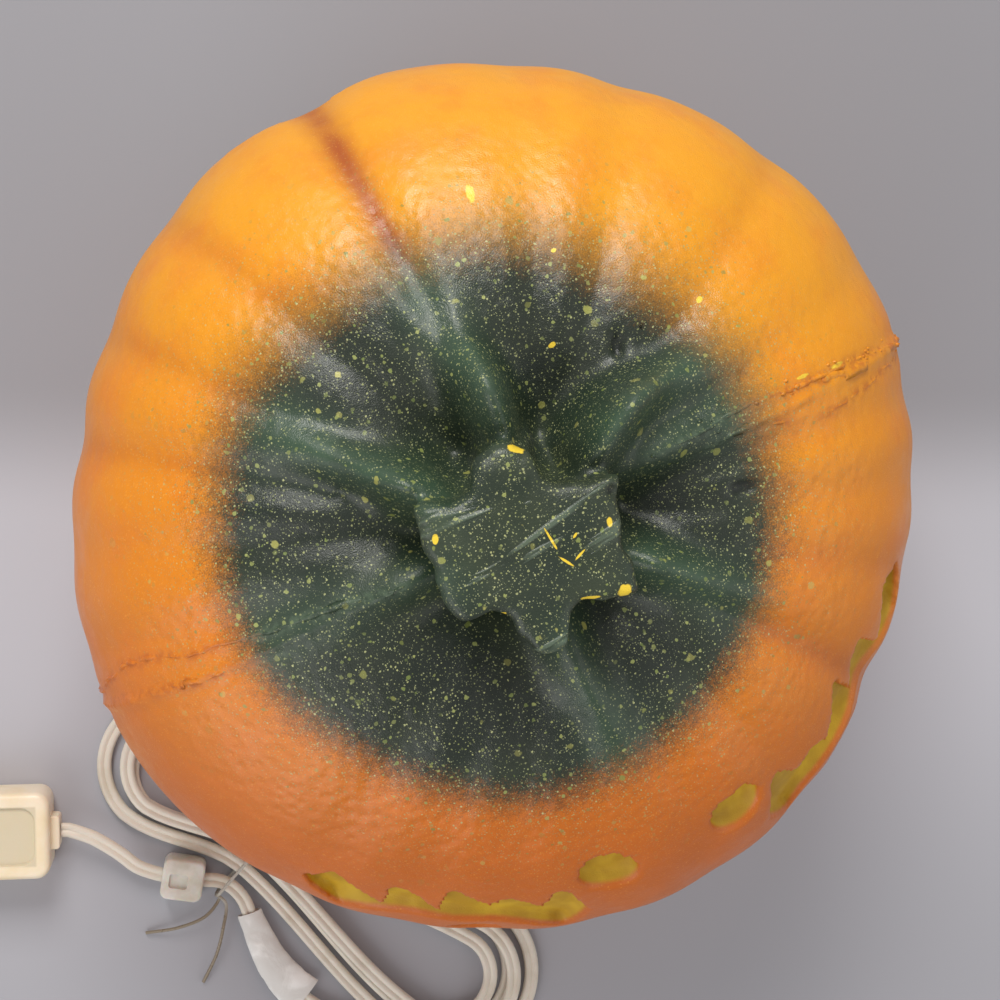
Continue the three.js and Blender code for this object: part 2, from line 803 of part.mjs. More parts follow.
// A tube of a given section along a line of points, with its wide side square to a face direction.
function sweep(points, faces, width, thickness, sides, loop = false) {
  const count = points.length;
  const rows = points.map((p, i) => {
    const before = points[loop ? (i + count - 1) % count : Math.max(i - 1, 0)];
    const after = points[loop ? (i + 1) % count : Math.min(i + 1, count - 1)];
    const along = after.clone().sub(before).normalize();
    const wide = faces[i].clone().cross(along).normalize();
    const thin = along.clone().cross(wide);
    return Array.from({ length: sides }, (_, k) => {
      const turn = ((k + 0.5) / sides) * Math.PI * 2;
      return p
        .clone()
        .addScaledVector(wide, (Math.cos(turn) * width) / 2)
        .addScaledVector(thin, (Math.sin(turn) * thickness) / 2);
    });
  });
  if (!loop) return skin([[points[0].clone()], ...rows, [points[count - 1].clone()]]);
  const ringed = skin([...rows, rows[0].map((p) => p.clone())]);
  return ringed;
}

const up = new THREE.Vector3(0, 0, 1);
const upFor = (points) => points.map(() => up);

function filament() {
  const start = neckStart - 17 - seatGap - 0.3;
  const line = new THREE.CatmullRomCurve3(
    [
      [-0.9, start],
      [-2.4, start - 4],
      [-3.6, start - 8],
      [-2, start - 9],
      [0, start - 9.4],
      [2, start - 9],
      [3.6, start - 8],
      [2.4, start - 4],
      [0.9, start],
    ].map(([x, y]) => new THREE.Vector3(x, y, 0)),
  ).getPoints(24);
  return sweep(line, upFor(line), 0.6, 0.6, 6);
}

function cordRelief() {
  const head = 3.4;
  const floor = hoodBottom + hoodWall;
  const rings = [];
  for (let i = 0; i < 8; i++) {
    const share = i / 7;
    const radius = THREE.MathUtils.lerp(reliefTop, reliefTip, share);
    const groove = i % 2 ? 0.45 : 0;
    const z = hoodBottom - 1.6 - share * (reliefLength - 1.6);
    rings.push([radius - groove, z]);
  }
  return turned(
    [
      [0, floor + seatGap + 1.6],
      [head - 0.5, floor + seatGap + 1.6],
      [head, floor + seatGap + 1],
      [head, floor + seatGap],
      [2.6, floor + seatGap],
      [2.6, hoodBottom - seatGap],
      [reliefTop, hoodBottom - seatGap],
      ...rings,
      [0, hoodBottom - reliefLength],
    ],
    16,
  )
    .rotateX(Math.PI / 2)
    .translate(0, chamberMiddle, 0);
}

// Lead

// A flat lead along a line: its wide side is square to a face direction that turns from one to another.
class FlatLead extends THREE.CatmullRomCurve3 {
  constructor(points, firstFace = up, turnOver = 45) {
    super(points, false, "centripetal");
    this.firstFace = firstFace;
    this.turnOver = turnOver;
  }
  faceAt(share) {
    const done = THREE.MathUtils.smoothstep(share * this.getLength(), 5, this.turnOver);
    return this.firstFace.clone().lerp(up, done).normalize();
  }
  computeFrenetFrames(steps) {
    const frames = { tangents: [], normals: [], binormals: [] };
    for (let i = 0; i <= steps; i++) {
      const along = this.getTangentAt(i / steps);
      const wide = this.faceAt(i / steps).cross(along).normalize();
      frames.tangents.push(along);
      frames.normals.push(wide);
      frames.binormals.push(along.clone().cross(wide));
    }
    return frames;
  }
}

function leadSection() {
  const halfFlat = (leadWidth - leadThickness) / 2;
  const section = new THREE.Shape();
  section.absarc(halfFlat, 0, leadThickness / 2, -Math.PI / 2, Math.PI / 2);
  section.absarc(-halfFlat, 0, leadThickness / 2, Math.PI / 2, Math.PI * 1.5);
  return section;
}

function leadTube(curve) {
  const steps = Math.round(curve.getLength() / (2.2 * leadWidth));
  return new THREE.ExtrudeGeometry(leadSection(), {
    steps,
    curveSegments: 3,
    extrudePath: curve,
    bevelEnabled: false,
  });
}

// A place in the hank: along it from the tie, across it towards the pumpkin, and its height.
function hankPlace(along, across, height) {
  const heading = radians(hankHeading) + along / hankBend;
  const start = radians(hankHeading);
  const left = new THREE.Vector3(-Math.sin(start), Math.cos(start), 0);
  const here = new THREE.Vector3(-Math.sin(heading), Math.cos(heading), 0);
  const centre = new THREE.Vector3(hankX, hankY, 0).addScaledVector(left, hankBend);
  return centre.addScaledVector(here, across - hankBend).setZ(height);
}

function hankPoint(turns) {
  const loop = turns % 1;
  const run = 5 / loopSteps;
  const inward = hankClimbAt + run;
  const step = turns < inward ? 1 - turns : 1 - inward + (turns - inward);
  const right = hankRight + hankStepRight * step;
  const left = hankLeft + hankStepLeft * step;
  const width = (at) => {
    const end = at > 0 ? hankRight + hankStepRight : hankLeft + hankStepLeft;
    const open = THREE.MathUtils.smoothstep(Math.abs(at), 0, end);
    return THREE.MathUtils.lerp(hankWaist, hankLoopRadius, open) + hankPitch * step;
  };
  const climb = THREE.MathUtils.smoothstep(turns, hankClimbAt, inward);
  const side = loop < 0.5 ? 1 : -1;
  const half = loop % 0.5;
  const start = side > 0 ? -left : right;
  const end = side > 0 ? right : -left;
  let along = THREE.MathUtils.lerp(start, end, Math.min(half / run, 1));
  let across = side * width(along);
  if (half > run) {
    const turn = ((half - run) / (0.5 - run)) * Math.PI;
    const radius = width(end);
    along = end + side * radius * Math.sin(turn);
    across = side * radius * Math.cos(turn);
  }
  const lift = hankLift * Math.exp(-((along / hankLiftReach) ** 2));
  const bottom = leadThickness / 2 + 0.05 + lift;
  return hankPlace(along, across, bottom + climb * hankLayer);
}

function hankLine() {
  const count = Math.round(hankLoops * loopSteps);
  const points = Array.from({ length: count + 1 }, (_, i) => hankPoint((i / count) * hankLoops));
  const first = hankPlace(-hankLeft - hankStepLeft - leadWidth, hankLoopRadius + hankPitch, points[0].z);
  const last = points[count].clone();
  const before = points[count - 1].clone().sub(last).setZ(0).normalize();
  points.unshift(first);
  points.push(last.addScaledVector(before, -leadWidth));
  return points;
}

// The least distance between the lead's surfaces on two rings that aren't neighbours along it.
function leastGap(points, sides = 6) {
  const tube = sweep(points, upFor(points), leadWidth, leadThickness, sides).attributes.position;
  const rings = points.map((_, i) =>
    Array.from({ length: sides }, (_, k) =>
      new THREE.Vector3().fromBufferAttribute(tube, 1 + i * sides + k),
    ),
  );
  const least = { gap: Infinity, steps: [] };
  const shares = [0, 0.25, 0.5, 0.75];
  const near = new THREE.Vector3();
  const note = (gap, i, j) => {
    if (gap < least.gap) Object.assign(least, { gap, steps: [i, j] });
  };
  for (let i = 0; i + 1 < rings.length; i++) {
    for (let j = i + 5; j + 1 < rings.length; j++) {
      for (let k = 0; k < sides; k++) {
        for (const share of shares) {
          const p = rings[i][k].clone().lerp(rings[i + 1][k], share);
          for (let m = 0; m < sides; m++) {
            new THREE.Line3(rings[j][m], rings[j + 1][m]).closestPointToPoint(p, true, near);
            note(p.distanceTo(near), i, j);
            new THREE.Line3(rings[j][m], rings[j][(m + 1) % sides]).closestPointToPoint(p, true, near);
            note(p.distanceTo(near), i, j);
          }
        }
      }
    }
  }
  return least;
}

const reliefEnd = new THREE.Vector3(0, seatY + chamberMiddle, lampHeight + hoodBottom - reliefLength);
const hank = hankLine();

// From the strain relief down behind the body, then on the table round its left side to the hank
function leadLine() {
  const start = reliefEnd.clone().setZ(reliefEnd.z - seatGap);
  const hand = [
    [0, 125.8, 25.4],
    [-1.8, 126.6, 16.2],
    [-7, 129, 8.4],
    [-14.8, 131.4, 3.2],
    [-24, 132.5, 1.45],
    [-38, 130, 1.4],
    [-55, 122.5, 1.4],
    [-72, 111.5, 1.4],
    [-88, 97, 1.4],
    [-101, 79.5, 1.4],
    [-110.5, 59, 1.4],
    [-116.5, 37, 1.4],
    [-119, 16, 1.4],
  ];
  const end = hank[0];
  const toEnd = hank[1].clone().sub(end).normalize();
  const points = [start, start.clone().setZ(start.z - 5)];
  points.push(...hand.map(([x, y, z]) => new THREE.Vector3(x, y, z)));
  points.push(end.clone().addScaledVector(toEnd, -leadWidth * 2));
  points.push(end.clone().addScaledVector(toEnd, -seatGap));
  return points;
}

// From the hank's far turn back along its outer side, through the label, the tie and the block
function tailLine() {
  const start = hank[hank.length - 1];
  const away = start.clone().sub(hank[hank.length - 2]).normalize();
  const plug = new THREE.Vector3(plugX, plugY, plugThickness / 2);
  const into = new THREE.Vector3(Math.cos(radians(plugHeading)), Math.sin(radians(plugHeading)), 0);
  const through = new THREE.Vector3(Math.cos(radians(blockHeading)), Math.sin(radians(blockHeading)), 0);
  const middle = new THREE.Vector3(blockX, blockY, blockHeight / 2);
  return [
    start.clone().addScaledVector(away, seatGap),
    start.clone().addScaledVector(away, leadWidth),
    hankPlace(68, -32.5, 4.6),
    hankPlace(59, -35.8, 3.4),
    hankPlace(49, -37, 2.8),
    hankPlace(38, -35.5, 2.7),
    hankPlace(27, -31.5, 2.7),
    hankPlace(17, -26, 2.7),
    new THREE.Vector3(-142.9, -97.2, 3.2),
    new THREE.Vector3(-144.9, -90, 4),
    new THREE.Vector3(-147.6, -86.5, 4.9),
    middle.clone().addScaledVector(through, -blockLength / 2),
    middle.clone().addScaledVector(through, blockLength / 2),
    new THREE.Vector3(-166.8, -71.9, 5.7),
    new THREE.Vector3(-170.4, -67.2, 6.4),
    new THREE.Vector3(-172.6, -61.5, 7.2),
    new THREE.Vector3(-175.4, -55.6, 8.1),
    new THREE.Vector3(-178.6, -50, 8.9),
    new THREE.Vector3(-182.6, -45.3, 9.4),
    plug.clone().addScaledVector(into, -2.5),
    plug.clone().addScaledVector(into, -seatGap),
  ];
}

// Twist tie: a flattened ring round the loops, with two tails from one end
function twistTie() {
  const low = -tailAtTie - leadWidth / 2 - tieRadius - seatGap - tieRoom;
  const high = hankWaist + hankPitch + leadWidth / 2 + tieRadius + seatGap + tieRoom;
  const bottom = tieRadius + 0.05;
  const top = hankLift + leadThickness + hankLayer + tieRadius + 0.9;
  const rise = (top - bottom) / 2;
  const round = 2.4;
  const flat = (from, to, height) => {
    for (let i = 0; i < 10; i++) ring.push([THREE.MathUtils.lerp(from, to, i / 9), height]);
  };
  const bow = (at, side) => {
    for (let i = 1; i < 6; i++) {
      const turn = (i / 6) * Math.PI;
      const height = bottom + rise - side * rise * Math.cos(turn);
      ring.push([at + side * round * Math.sin(turn), height]);
    }
  };
  const ring = [];
  flat(low + round, high - round, bottom);
  bow(high - round, 1);
  flat(high - round, low + round, top);
  bow(low + round, -1);
  const loop = ring.map(([across, height]) => hankPlace(0, across, height));
  const along = hankPlace(1, 0, 0).sub(hankPlace(0, 0, 0)).normalize();
  const band = solid(sweep(loop, loop.map(() => along), tieRadius * 2, tieRadius * 2, 6, true));
  const twist = hankPlace(0, low, bottom + rise);
  const tails = [
    [[-150, -92.5, 4.4], [-157, -96, 5.2], [-168, -95.5, 3.6], [-180, -92, 0.7]],
    [[-149, -95.5, 4.6], [-154, -103, 5.4], [-161, -111, 3.4], [-170.5, -118.5, 0.7]],
  ].map((hand) => {
    const line = [twist, ...hand.map(([x, y, z]) => new THREE.Vector3(x, y, z))];
    const points = new THREE.CatmullRomCurve3(line, false, "centripetal").getPoints(14);
    return solid(sweep(points, upFor(points), tieRadius * 2, tieRadius * 2, 6));
  });
  return band.add(tails[0]).add(tails[1]);
}

// Label: a bare sleeve of paper rolled round the tail, not quite closed
function labelTag(tail) {
  const room = 0.35 + tagWall / 2;
  const line = [];
  for (let i = 0; i <= 14; i++) {
    const turn = radians(-80 + (i / 14) * 345);
    const roll = 0.07 * i;
    line.push(
      new THREE.Vector2(
        Math.cos(turn) * (leadWidth / 2 + room + 0.5 + roll),
        Math.sin(turn) * (leadThickness / 2 + room),
      ),
    );
  }
  const made = new THREE.ExtrudeGeometry(strip(line, tagWall), {
    depth: 1,
    steps: 8,
    bevelEnabled: false,
  });
  const at = made.attributes.position;
  for (let i = 0; i < at.count; i++) {
    const done = at.getZ(i);
    const share = THREE.MathUtils.lerp(tagFrom, tagTo, done);
    const along = tail.getTangentAt(share);
    const wide = up.clone().cross(along).normalize();
    const thin = along.clone().cross(wide);
    const p = tail.getPointAt(share);
    p.addScaledVector(wide, at.getX(i) * THREE.MathUtils.lerp(tagFlare, 1, done));
    p.addScaledVector(thin, at.getY(i));
    at.setXYZ(i, p.x, p.y, p.z);
  }
  return made;
}

function clipBlock() {
  const body = new THREE.ExtrudeGeometry(roundedRectangle(blockLength - 1.6, blockWidth - 1.6, 2), {
    depth: blockHeight - 1.6,
    bevelThickness: 0.8,
    bevelSize: 0.8,
    bevelSegments: 2,
    curveSegments: 4,
  }).translate(0, 0, 0.8);
  const slotWidth = leadWidth / 2 + 0.5;
  const slotHeight = leadThickness / 2 + 0.45;
  const middle = blockHeight / 2;
  const slot = block([-blockLength, -slotWidth, middle - slotHeight], [blockLength, slotWidth, middle + slotHeight]);
  const lip = block([-blockLength, -blockWidth, middle - 0.25], [blockLength, -blockWidth / 2 + 0.6, middle + 0.25]);
  return solid(body).subtract(solid(slot)).subtract(solid(lip));
}

// Plug, along its own +X from the cord's end to the blades, lying on its flat side
const bladeOffset = bladeSpacing / 2;
const fuseHeights = [-1, 1].map((side) => plugThickness / 2 - 1 + (side * fuseSpacing) / 2);
const pocketBack = plugLength - doorThickness - 2 * fuseRadius - 1.2;

function plugBody() {
  const bevel = 1.5;
  const shell = new THREE.ExtrudeGeometry(
    roundedRectangle(plugLength - 2 * bevel, plugWidth - 2 * bevel, plugCorner),
    {
      depth: plugThickness - 2 * bevel,
      bevelThickness: bevel,
      bevelSize: bevel,
      bevelSegments: 3,
      curveSegments: 5,
    },
  ).translate(plugLength / 2, 0, bevel);
  const panel = new THREE.ExtrudeGeometry(roundedRectangle(plugLength - 10, plugWidth - 9, 6), {
    depth: 4,
    bevelEnabled: false,
    curveSegments: 5,
  }).translate(plugLength / 2 - 1.5, 0, plugThickness - 1.2);
  const middle = plugThickness / 2;
  const collar = block(
    [0, -collarWidth / 2, middle - collarHeight / 2],
    [collarLength + 3, collarWidth / 2, middle + collarHeight / 2],
  );
  const half = doorWidth / 2 + seatGap;
  const doorLow = middle - 1 - doorHeight / 2;
  const pocketHalf = fuseSpacing / 2 + fuseRadius + 0.5;
  const slot = (side, width) =>
    solid(
      block(
        [plugLength - bladeInside - seatGap, side * bladeOffset - bladeThickness / 2 - seatGap, middle - width / 2 - seatGap],
        [plugLength + 5, side * bladeOffset + bladeThickness / 2 + seatGap, middle + width / 2 + seatGap],
      ),
    );
  const rebate = block([plugLength - doorThickness - seatGap, -half, doorLow - seatGap], [plugLength + 5, half, plugThickness + 5]);
  const pocket = block([pocketBack, -fuseLength / 2 - 0.3, middle - 1 - pocketHalf], [plugLength, fuseLength / 2 + 0.3, middle - 1 + pocketHalf]);
  return solid(shell.translate(collarLength, 0, 0))
    .subtract(solid(panel.translate(collarLength, 0, 0)))
    .translate([-collarLength, 0, 0])
    .add(solid(collar.translate(-collarLength, 0, 0)))
    .subtract(slot(-1, narrowBlade))
    .subtract(slot(1, wideBlade))
    .subtract(solid(rebate))
    .subtract(solid(pocket));
}

function blade(side, width) {
  const length = bladeLength + bladeInside;
  const shape = new THREE.Shape();
  shape.moveTo(0, -width / 2);
  shape.lineTo(length - 2, -width / 2);
  shape.lineTo(length, -width / 2 + 1.5);
  shape.lineTo(length, width / 2 - 1.5);
  shape.lineTo(length - 2, width / 2);
  shape.lineTo(0, width / 2);
  shape.holes.push(new THREE.Path().absellipse(length - 5.5, 0, 1.6, 1.6, 0, Math.PI * 2));
  const made = new THREE.ExtrudeGeometry(shape, {
    depth: bladeThickness,
    bevelEnabled: false,
    curveSegments: 5,
  });
  return made
    .translate(plugLength - bladeInside, 0, -bladeThickness / 2)
    .rotateX(Math.PI / 2)
    .translate(0, side * bladeOffset, plugThickness / 2);
}

function fuse(height) {
  const half = fuseLength / 2;
  const x = plugLength - doorThickness - seatGap - fuseRadius - 0.3;
  return turned(
    [
      [0, -half],
      [fuseRadius, -half],
      [fuseRadius, -half + 2.5],
      [fuseRadius - 0.25, -half + 2.7],
      [fuseRadius - 0.25, half - 2.7],
      [fuseRadius, half - 2.5],
      [fuseRadius, half],
      [0, half],
    ],
    14,
  ).translate(x, 0, height);
}

function fuseDoor() {
  const low = plugThickness / 2 - 1 - doorHeight / 2;
  const plate = solid(
    block([plugLength - doorThickness, -doorWidth / 2, low], [plugLength - 0.2, doorWidth / 2, low + doorHeight]),
  );
  const grip = [2, 4, 6].map((up) =>
    solid(
      block(
        [plugLength - 0.5, -doorWidth / 2 + 1.5, low + up],
        [plugLength + 0.5, doorWidth / 2 - 1.5, low + up + 0.8],
      ),
    ),
  );
  return grip.reduce((sum, rib) => sum.add(rib), plate);
}

// Assembly
const pumpkin = new THREE.Group();
piece(pumpkin, "pumpkin_shell", pumpkinShell(), foam);

const lamp = new THREE.Group();
lamp.position.set(0, seatY, lampHeight);
pumpkin.add(lamp);
piece(lamp, "lamp_plate", lampPlate(), plateWhite);
piece(lamp, "spring_clip_left", springClip(-1), springSteel);
piece(lamp, "spring_clip_right", springClip(1), springSteel);
piece(lamp, "cord_relief", cordRelief(), ivory);
piece(lamp, "lampholder_body", lampholder(), holderBlack);
piece(lamp, "screw_shell", screwShell(), brass);
piece(lamp, "centre_contact", centreContact(), brass);
piece(lamp, "shell_terminal", shellTerminal(), brass);
piece(lamp, "bulb_glass", bulbGlass(), glass);
piece(lamp, "bulb_cap", bulbCap(), brass);
piece(lamp, "bulb_insulator", bulbInsulator(), holderBlack);
piece(lamp, "bulb_contact", bulbContact(), solder);
piece(lamp, "bulb_stem", bulbStem(), glass);
piece(lamp, "filament", filament(), springSteel);

const lead = new FlatLead(leadLine(), new THREE.Vector3(0, 1, 0), 60);
const tail = new FlatLead(tailLine());
piece(pumpkin, "cord_lead", leadTube(lead), ivory);
piece(pumpkin, "cord_hank", sweep(hank, upFor(hank), leadWidth, leadThickness, 6), ivory);
piece(pumpkin, "cord_tail", leadTube(tail), ivory);
piece(pumpkin, "twist_tie", twistTie(), clearTie);
piece(pumpkin, "label_tag", labelTag(tail), paper);

const clip = new THREE.Group();
clip.position.set(blockX, blockY, 0);
clip.rotation.z = radians(blockHeading);
pumpkin.add(clip);
piece(clip, "cord_clip", clipBlock(), clearBlock);

const plug = new THREE.Group();
plug.position.set(
  plugX + collarLength * Math.cos(radians(plugHeading)),
  plugY + collarLength * Math.sin(radians(plugHeading)),
  0,
);
plug.rotation.z = radians(plugHeading);
pumpkin.add(plug);
piece(plug, "plug_body", plugBody(), cream);
piece(plug, "blade_live", blade(-1, narrowBlade), bladeSteel);
piece(plug, "blade_neutral", blade(1, wideBlade), bladeSteel);
piece(plug, "fuse_live", fuse(fuseHeights[0]), glass);
piece(plug, "fuse_neutral", fuse(fuseHeights[1]), glass);
piece(plug, "fuse_door", fuseDoor(), cream);

const hankLength = hank.reduce((sum, p, i) => (i ? sum + p.distanceTo(hank[i - 1]) : 0), 0);
const whole = lead.getLength() + hankLength + tail.getLength();
const tightest = leastGap(hank);
console.log("least gap in the hank", tightest.gap.toFixed(2), "mm, steps", tightest.steps.join(" and "));
console.log("length of the lead", Math.round(whole), "mm");
console.log("lamp unit draws out", lampTravel, "mm, bulb unscrews", turnsOut * threadPitch, "mm");

export default pumpkin;
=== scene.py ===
import bpy, bmesh, math, random
from mathutils import Vector, Matrix, noise
from mathutils.bvhtree import BVHTree
from mathutils.kdtree import KDTree


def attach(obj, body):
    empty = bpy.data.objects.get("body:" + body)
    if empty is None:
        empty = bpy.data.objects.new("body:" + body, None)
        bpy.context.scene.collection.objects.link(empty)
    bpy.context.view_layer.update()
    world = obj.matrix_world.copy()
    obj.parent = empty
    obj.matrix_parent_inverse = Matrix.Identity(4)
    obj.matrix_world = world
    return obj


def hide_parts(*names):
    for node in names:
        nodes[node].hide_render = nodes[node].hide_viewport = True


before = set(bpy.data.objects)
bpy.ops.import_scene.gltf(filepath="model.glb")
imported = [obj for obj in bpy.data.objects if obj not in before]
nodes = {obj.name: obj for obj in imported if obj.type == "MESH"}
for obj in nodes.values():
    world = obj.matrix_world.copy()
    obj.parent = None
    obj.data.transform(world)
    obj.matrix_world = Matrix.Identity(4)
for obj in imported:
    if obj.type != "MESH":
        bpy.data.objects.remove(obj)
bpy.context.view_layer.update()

mm = 0.001
upward = Vector((0, 0, 1))
print("frame loaded")


def linked(name, data):
    made = bpy.data.objects.new(name, data)
    bpy.context.scene.collection.objects.link(made)
    return made


# Camera
cameraSet = {
    "place": (-0.049012, 0.071016, 0.713966),
    "right": (0.88080532, -0.45717093, 0.12319384),
    "up": (0.46683266, 0.88197213, -0.06474898),
    "lens": 70.15, "shift": 0.003, "sensor": 36.0, "near": 0.01,
}
right = Vector(cameraSet["right"]).normalized()
up = Vector(cameraSet["up"]).normalized()
cameraData = bpy.data.cameras.new("camera")
cameraData.lens, cameraData.sensor_width = cameraSet["lens"], cameraSet["sensor"]
cameraData.shift_x, cameraData.clip_start = cameraSet["shift"], cameraSet["near"]
camera = linked("camera", cameraData)
turn = Matrix((right, up, right.cross(up))).transposed()
camera.matrix_world = Matrix.Translation(cameraSet["place"]) @ turn.to_4x4()
bpy.context.scene.camera = camera
bpy.context.scene.view_settings.view_transform = "Standard"


# Helpers for shapes
def clamp(value, low=0.0, high=1.0):
    return max(low, min(high, value))


def smoothstep(value, low, high):
    share = clamp((value - low) / (high - low))
    return share * share * (3 - 2 * share)


def mix(a, b, share):
    return a + (b - a) * share


def wayAt(degrees):
    return Vector((math.cos(math.radians(degrees)), math.sin(math.radians(degrees)), 0))


# An object of its own from a bmesh
def hold(name, bm):
    mesh = bpy.data.meshes.new(name)
    bm.to_mesh(mesh)
    bm.free()
    return linked(name, mesh)


# One piece from a bmesh, at the origin, riding on a body and standing for its CAD nodes
def finished(name, bm, bodyName, replaced, smoothAngle=40):
    bmesh.ops.recalc_face_normals(bm, faces=bm.faces[:])
    sharp = math.radians(smoothAngle)
    for face in bm.faces:
        face.smooth = True
    for edge in bm.edges:
        edge.smooth = not (edge.is_manifold and edge.calc_face_angle(0) > sharp)
    made = hold(name, bm)
    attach(made, bodyName)
    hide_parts(*replaced)
    return made


# Points at an even spacing along a centripetal spline through given points
def curveThrough(points, spacing):
    points = [Vector(p) for p in points]
    padded = [points[0] * 2 - points[1]] + points + [points[-1] * 2 - points[-2]]
    fine = []
    for i in range(1, len(padded) - 2):
        p0, p1, p2, p3 = padded[i - 1:i + 3]
        t01 = max((p1 - p0).length ** 0.5, 1e-4)
        t12 = max((p2 - p1).length ** 0.5, 1e-4)
        t23 = max((p3 - p2).length ** 0.5, 1e-4)
        m1 = ((p1 - p0) / t01 - (p2 - p0) / (t01 + t12) + (p2 - p1) / t12) * t12
        m2 = ((p2 - p1) / t12 - (p3 - p1) / (t12 + t23) + (p3 - p2) / t23) * t12
        for k in range(24):
            t = k / 24
            fine.append(p1 * (2 * t ** 3 - 3 * t ** 2 + 1) + m1 * (t ** 3 - 2 * t ** 2 + t)
                        + p2 * (3 * t ** 2 - 2 * t ** 3) + m2 * (t ** 3 - t ** 2))
    fine.append(points[-1])
    return evenly(fine, spacing)


# The same line with its points at an even spacing
def evenly(fine, spacing):
    total = sum((b - a).length for a, b in zip(fine, fine[1:]))
    count = max(2, round(total / spacing))
    out, walked, target = [fine[0].copy()], 0.0, total / count
    for a, b in zip(fine, fine[1:]):
        step = (b - a).length
        while len(out) < count and walked + step >= target * len(out):
            out.append(a.lerp(b, (target * len(out) - walked) / step))
        walked += step
    out.append(fine[-1].copy())
    return out


def tangents(path, closed=False):
    n = len(path)
    if closed:
        return [(path[(i + 1) % n] - path[i - 1]).normalized() for i in range(n)]
    return [(path[min(i + 1, n - 1)] - path[max(i - 1, 0)]).normalized() for i in range(n)]


# Extrudes a ring of edges to new places, and gives the new ring and its edges
def nextRing(bm, ring, edges, places):
    made = bmesh.ops.extrude_edge_only(bm, edges=edges)["geom"]
    fresh = {g for g in made if isinstance(g, bmesh.types.BMVert)}
    following = [next(e.other_vert(v) for e in v.link_edges if e.other_vert(v) in fresh) for v in ring]
    for v, p in zip(following, places):
        v.co = p
    return following, [next(e for e in v.link_edges if e.other_vert(v) == following[(k + 1) % len(ring)])
                       for k, v in enumerate(following)]


# Extrudes a section along a path; flats are the directions its flat side faces
def sweep(bm, path, flats, section, closed=False):
    ways = tangents(path, closed)

    def ringAt(i):
        place = section(i) if callable(section) else section
        wide = flats[i].cross(ways[i]).normalized()
        thin = ways[i].cross(wide).normalized()
        return [path[i] + wide * x + thin * y for x, y in place]

    ring = [bm.verts.new(p) for p in ringAt(0)]
    edges = firstEdges = [bm.edges.new((ring[k], ring[(k + 1) % len(ring)])) for k in range(len(ring))]
    for i in range(1, len(path)):
        ring, edges = nextRing(bm, ring, edges, ringAt(i))
    if closed:
        bmesh.ops.bridge_loops(bm, edges=edges + firstEdges)
    else:
        bmesh.ops.edgenet_fill(bm, edges=edges)
        bmesh.ops.edgenet_fill(bm, edges=firstEdges)


# Extrudes a closed form in millimetres through levels of points, filled at both ends
def loft(levels):
    bm = bmesh.new()
    ring = [bm.verts.new(p * mm) for p in levels[0]]
    edges = bm.faces.new(ring).edges[:]
    for level in levels[1:]:
        ring, edges = nextRing(bm, ring, edges, [p * mm for p in level])
    bmesh.ops.edgenet_fill(bm, edges=edges)
    bmesh.ops.recalc_face_normals(bm, faces=bm.faces[:])
    return bm


def circle(radius, sides):
    return [(radius * math.cos(2 * math.pi * k / sides), radius * math.sin(2 * math.pi * k / sides))
            for k in range(sides)]


# Helpers for materials: tint takes a colour given in 0 to 255 as the eye reads it
def tint(red, green, blue):
    line = lambda c: c / 12.92 if c <= 0.04045 else ((c + 0.055) / 1.055) ** 2.4
    return (line(red / 255), line(green / 255), line(blue / 255), 1.0)


